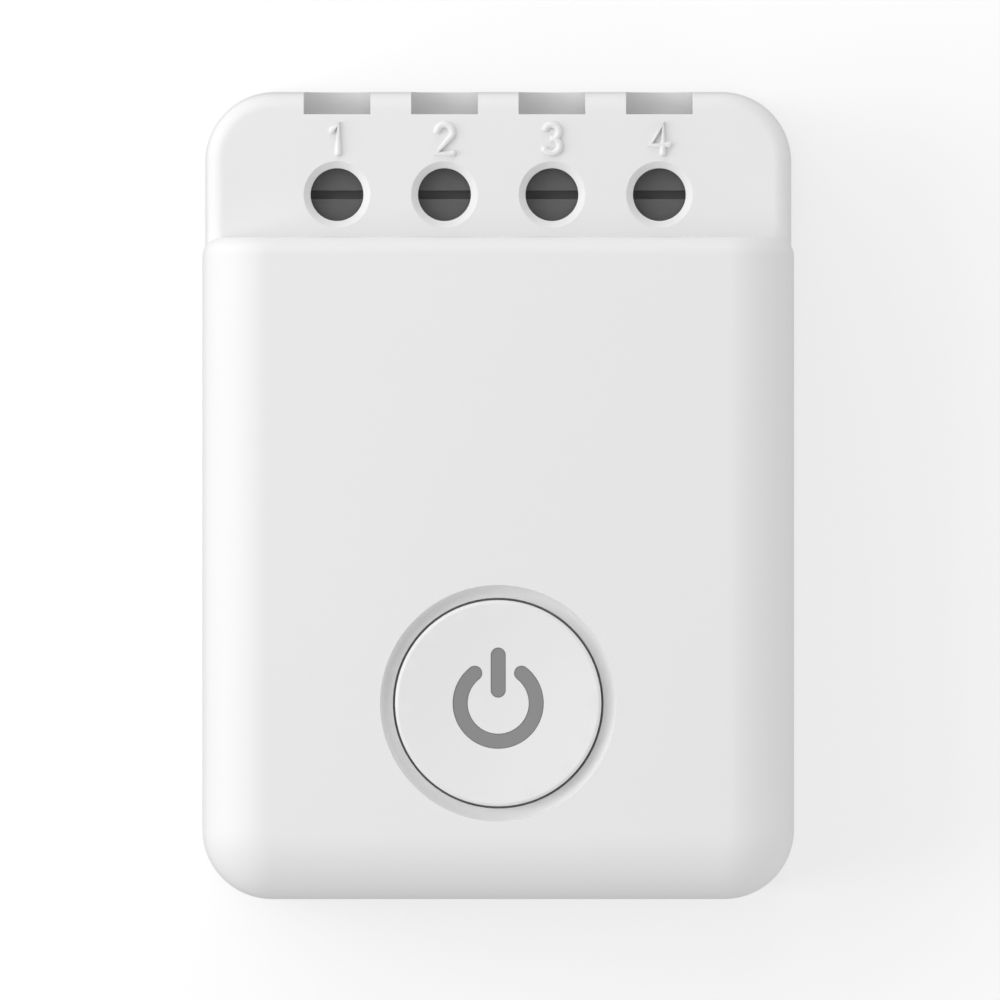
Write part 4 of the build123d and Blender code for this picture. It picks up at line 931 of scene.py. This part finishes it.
class RELAYMODULE_OT_chip_metal(bpy.types.Operator):
    """Put tinned end caps on the chip resistors and capacitors, and legs on the larger chips"""

    bl_idname = "relaymodule.chip_metal"
    bl_label = "Chip end caps and legs"

    def execute(self, context):
        sizes = context.scene.relay_module_sizes
        inputs = [("Finish", "NodeSocketMaterial", None)]
        tree = piece_tree("Small boxes", inputs, box_nodes, smooth=False)
        for node in ("main_smd_parts", "control_smd_parts"):
            pieces = []
            for low, high in solids(node):
                span = high - low
                centre = (low + high) / 2
                longest = 0 if span.x >= span.y else 1
                if span[longest] < sizes.largest_cap_chip:
                    pieces += self.caps(centre, span, longest, sizes)
                else:
                    pieces += self.legs(low, centre, span, longest, sizes)
            source = sized_points(node + "_points", pieces)
            mesh = run_tree(tree, source, {"Finish": palette()["tinned_metal"]}, node + "_metal")
            put_in_scene(node + "_metal", mesh, "tinned_metal", "module")
        return {"FINISHED"}

    def caps(self, centre, span, longest, sizes):
        """The places and sizes of a chip's two end caps."""
        pieces = []
        for side in (-1, 1):
            place = centre.copy()
            size = span + Vector((1, 1, 1)) * 2 * sizes.plating
            size[longest] = span[longest] * sizes.cap_share
            place[longest] += side * (span[longest] - size[longest] + 2 * sizes.plating) / 2
            pieces.append((place, size))
        return pieces

    def legs(self, low, centre, span, longest, sizes):
        """The places and sizes of the legs along a chip's two long sides."""
        across = 1 - longest
        count = max(2, int(span[longest] / sizes.leg_pitch) - 1)
        pieces = []
        for number in range(count):
            along = (number - (count - 1) / 2) * sizes.leg_pitch
            for side in (-1, 1):
                place = centre.copy()
                place[longest] += along
                place[across] += side * (span[across] + sizes.leg_reach) / 2
                place.z = low.z + sizes.leg_width / 2
                size = Vector((sizes.leg_width, sizes.leg_width, sizes.leg_width))
                size[across] = sizes.leg_reach
                pieces.append((place, size))
        return pieces


class RELAYMODULE_OT_solder(bpy.types.Operator):
    """Solder every lead that comes through the main board"""

    bl_idname = "relaymodule.solder"
    bl_label = "Solder joints"

    def execute(self, context):
        sizes = context.scene.relay_module_sizes
        tree = piece_tree(
            "Solder fillets",
            [
                ("Sides", "NodeSocketInt", SOLDER_SIDES),
                ("Tip Share", "NodeSocketFloat", SOLDER_TIP_SHARE),
                ("Finish", "NodeSocketMaterial", None),
            ],
            fillet_nodes,
        )
        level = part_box("main_board")[0][2]
        pieces = []
        for part in frame["record"]["subparts"]:
            node = part["node"]
            if node.endswith(("_pins", "_leads")) or node.startswith(("current_bar", "fixed_contact")):
                for x, y, half in lead_feet(node, level, sizes.lead_spread):
                    radius = half + sizes.solder_width
                    pieces.append((Vector((x, y, level)), Vector((radius, radius, sizes.solder_height))))
        if not pieces:
            raise RuntimeError("no lead comes through the main board")
        values = {
            "Sides": SOLDER_SIDES, "Tip Share": SOLDER_TIP_SHARE, "Finish": palette()["tinned_metal"],
        }
        mesh = run_tree(tree, sized_points("solder_points", pieces), values, "solder_joints")
        put_in_scene("solder_joints", mesh, "tinned_metal", "module")
        return {"FINISHED"}


class RELAYMODULE_OT_click_dome(bpy.types.Operator):
    """Shade the push switch's click dome smoothly, on a mesh of its own"""

    bl_idname = "relaymodule.click_dome"
    bl_label = "Click dome"

    def execute(self, context):
        dome = smooth_copy("tact_dome", "click_dome", "tinned_metal", "module")
        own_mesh(dome)
        return {"FINISHED"}


class RELAYMODULE_OT_finishes(bpy.types.Operator):
    """Give every packed sub-part the finish of its material slot"""

    bl_idname = "relaymodule.finishes"
    bl_label = "Finishes of the sub-parts"

    def execute(self, context):
        for part in frame["record"]["subparts"]:
            node = NODES[part["node"]]
            material = palette()[part["material_slot"]]
            if not node.material_slots:
                node.data.materials.append(material)
            for place in node.material_slots:
                place.material = material
        return {"FINISHED"}


class RELAYMODULE_OT_stage(bpy.types.Operator):
    """Set the pale floor, the soft lamps and the camera straight above the module"""

    bl_idname = "relaymodule.stage"
    bl_label = "Stage"

    def execute(self, context):
        stage = context.scene.relay_module_stage
        self.floor(stage)
        self.sky(context, stage)
        for name, around, up, level in (
            ("Key lamp", 135, HIGH_DEGREES, stage.key), ("Side lamp", 180, HIGH_DEGREES, stage.side),
            ("Left lamp", 180, LOW_DEGREES, stage.left), ("Right lamp", 0, LOW_DEGREES, stage.right),
            ("Low lamp", 315, LOW_DEGREES, stage.low), ("End lamp", 90, LOW_DEGREES, stage.end),
        ):
            self.lamp(name, math.radians(around), math.radians(up), level)
        self.camera(context, stage)
        context.scene.view_settings.view_transform = "Standard"
        return {"FINISHED"}

    def floor(self, stage):
        """A pale floor that only the camera sees, and only from above."""
        corners = [
            (x * FLOOR_HALF, y * FLOOR_HALF, -FLOOR_DROP) for x, y in ((-1, -1), (1, -1), (1, 1), (-1, 1))
        ]
        mesh = bpy.data.meshes.new("floor")
        mesh.from_pydata(corners, [], [(0, 1, 2, 3)])
        floor = new_object("floor", mesh)
        floor.visible_diffuse = False
        floor.visible_glossy = False
        floor.visible_transmission = False
        floor.visible_shadow = False
        material = bpy.data.materials.new("Floor")
        material.use_nodes = True
        tree = material.node_tree
        tree.nodes.clear()
        place = tree.nodes.new("ShaderNodeTexCoord").outputs["Object"]
        matt = tree.nodes.new("ShaderNodeBsdfDiffuse")
        tone = toned(tree, WHITE, noise(tree, place, FLOOR_CLOUD_SCALE), FLOOR_TONE)
        tree.links.new(tone, matt.inputs["Color"])
        glow = tree.nodes.new("ShaderNodeEmission")
        lifted = tree.nodes.new("ShaderNodeMixShader")
        lifted.inputs[0].default_value = stage.floor_lift
        tree.links.new(matt.outputs[0], lifted.inputs[1])
        tree.links.new(glow.outputs[0], lifted.inputs[2])
        clear = tree.nodes.new("ShaderNodeBsdfTransparent")
        back = tree.nodes.new("ShaderNodeNewGeometry")
        mix = tree.nodes.new("ShaderNodeMixShader")
        tree.links.new(back.outputs["Backfacing"], mix.inputs[0])
        tree.links.new(lifted.outputs[0], mix.inputs[1])
        tree.links.new(clear.outputs[0], mix.inputs[2])
        leave = tree.nodes.new("ShaderNodeOutputMaterial")
        tree.links.new(mix.outputs[0], leave.inputs["Surface"])
        mesh.materials.append(material)

    def sky(self, context, stage):
        """Plain white behind the module, and an even light of its own level all round."""
        world = bpy.data.worlds.new("Studio")
        context.scene.world = world
        world.use_nodes = True
        tree = world.node_tree
        tree.nodes.clear()
        light = tree.nodes.new("ShaderNodeLightPath")
        direct = light.outputs["Is Camera Ray"]
        through = light.outputs["Is Transmission Ray"]
        seen = math_node(tree, "MAXIMUM", direct, through)
        level = math_node(tree, "MULTIPLY_ADD", seen, 1.0 - stage.sky, stage.sky)
        shell = tree.nodes.new("ShaderNodeBackground")
        shell.inputs["Color"].default_value = WHITE
        tree.links.new(level, shell.inputs["Strength"])
        leave = tree.nodes.new("ShaderNodeOutputWorld")
        tree.links.new(shell.outputs[0], leave.inputs["Surface"])

    def lamp(self, name, around, up, level):
        """A soft square lamp that faces the module; only the key lamp shows in reflections."""
        data = bpy.data.lights.new(name, "AREA")
        data.shape = "SQUARE"
        data.size = LAMP_SIZE
        data.energy = level * math.pi ** 2 * LAMP_DISTANCE ** 2
        lamp = new_object(name, data)
        way = Vector((math.cos(up) * math.cos(around), math.cos(up) * math.sin(around), math.sin(up)))
        lamp.location = way * LAMP_DISTANCE
        lamp.visible_glossy = name == "Key lamp"
        lamp.rotation_mode = "QUATERNION"
        lamp.rotation_quaternion = way.to_track_quat("Z", "Y")

    def camera(self, context, stage):
        """A long lens straight above the module, far enough to show the view's width at the shelf."""
        data = bpy.data.cameras.new("Camera")
        data.lens = stage.lens
        data.sensor_fit = "HORIZONTAL"
        data.sensor_width = SENSOR_WIDTH
        distance = stage.view_width * stage.lens / data.sensor_width
        data.clip_start = CLIP_START
        data.clip_end = CLIP_END
        camera = new_object("Camera", data)
        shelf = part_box("front_cover")[1][2] - SHELF_DROP
        camera.location = (stage.view_x, stage.view_y, shelf + distance)
        context.scene.camera = camera


PROPERTY_GROUPS = (
    ("relay_module_sizes", RelayModuleSizes),
    ("relay_module_colours", RelayModuleColours),
    ("relay_module_stage", RelayModuleStage),
)
OPERATORS = (
    RELAYMODULE_OT_finishes,
    RELAYMODULE_OT_case,
    RELAYMODULE_OT_button,
    RELAYMODULE_OT_terminal_screws,
    RELAYMODULE_OT_numerals,
    RELAYMODULE_OT_wire_turns,
    RELAYMODULE_OT_chip_metal,
    RELAYMODULE_OT_solder,
    RELAYMODULE_OT_click_dome,
    RELAYMODULE_OT_stage,
)


class RELAYMODULE_PT_looks(bpy.types.Panel):
    """Lists the pieces of the relay module and their sizes and colours"""

    bl_label = "Relay module"
    bl_idname = "RELAYMODULE_PT_looks"
    bl_space_type = "VIEW_3D"
    bl_region_type = "UI"
    bl_category = "Relay module"

    def draw(self, context):
        column = self.layout.column(align=True)
        for operator in OPERATORS:
            column.operator(operator.bl_idname)
        for attribute, group in PROPERTY_GROUPS:
            box = self.layout.box()
            for name in group.__annotations__:
                box.prop(getattr(context.scene, attribute), name)


def register():
    """Registers the property groups, operators and panel."""
    for attribute, group in PROPERTY_GROUPS:
        bpy.utils.register_class(group)
        setattr(bpy.types.Scene, attribute, PointerProperty(type=group))
    for kind in (*OPERATORS, RELAYMODULE_PT_looks):
        bpy.utils.register_class(kind)


def unregister():
    """Takes them away again."""
    for kind in (RELAYMODULE_PT_looks, *reversed(OPERATORS)):
        bpy.utils.unregister_class(kind)
    for attribute, group in reversed(PROPERTY_GROUPS):
        delattr(bpy.types.Scene, attribute)
        bpy.utils.unregister_class(group)


def main():
    """Makes every piece and the stage."""
    register()
    bpy.ops.relaymodule.finishes()
    bpy.ops.relaymodule.case()
    bpy.ops.relaymodule.button()
    bpy.ops.relaymodule.terminal_screws()
    bpy.ops.relaymodule.numerals()
    bpy.ops.relaymodule.wire_turns()
    bpy.ops.relaymodule.chip_metal()
    bpy.ops.relaymodule.solder()
    bpy.ops.relaymodule.click_dome()
    bpy.ops.relaymodule.stage()


if __name__ == "__main__":
    main()
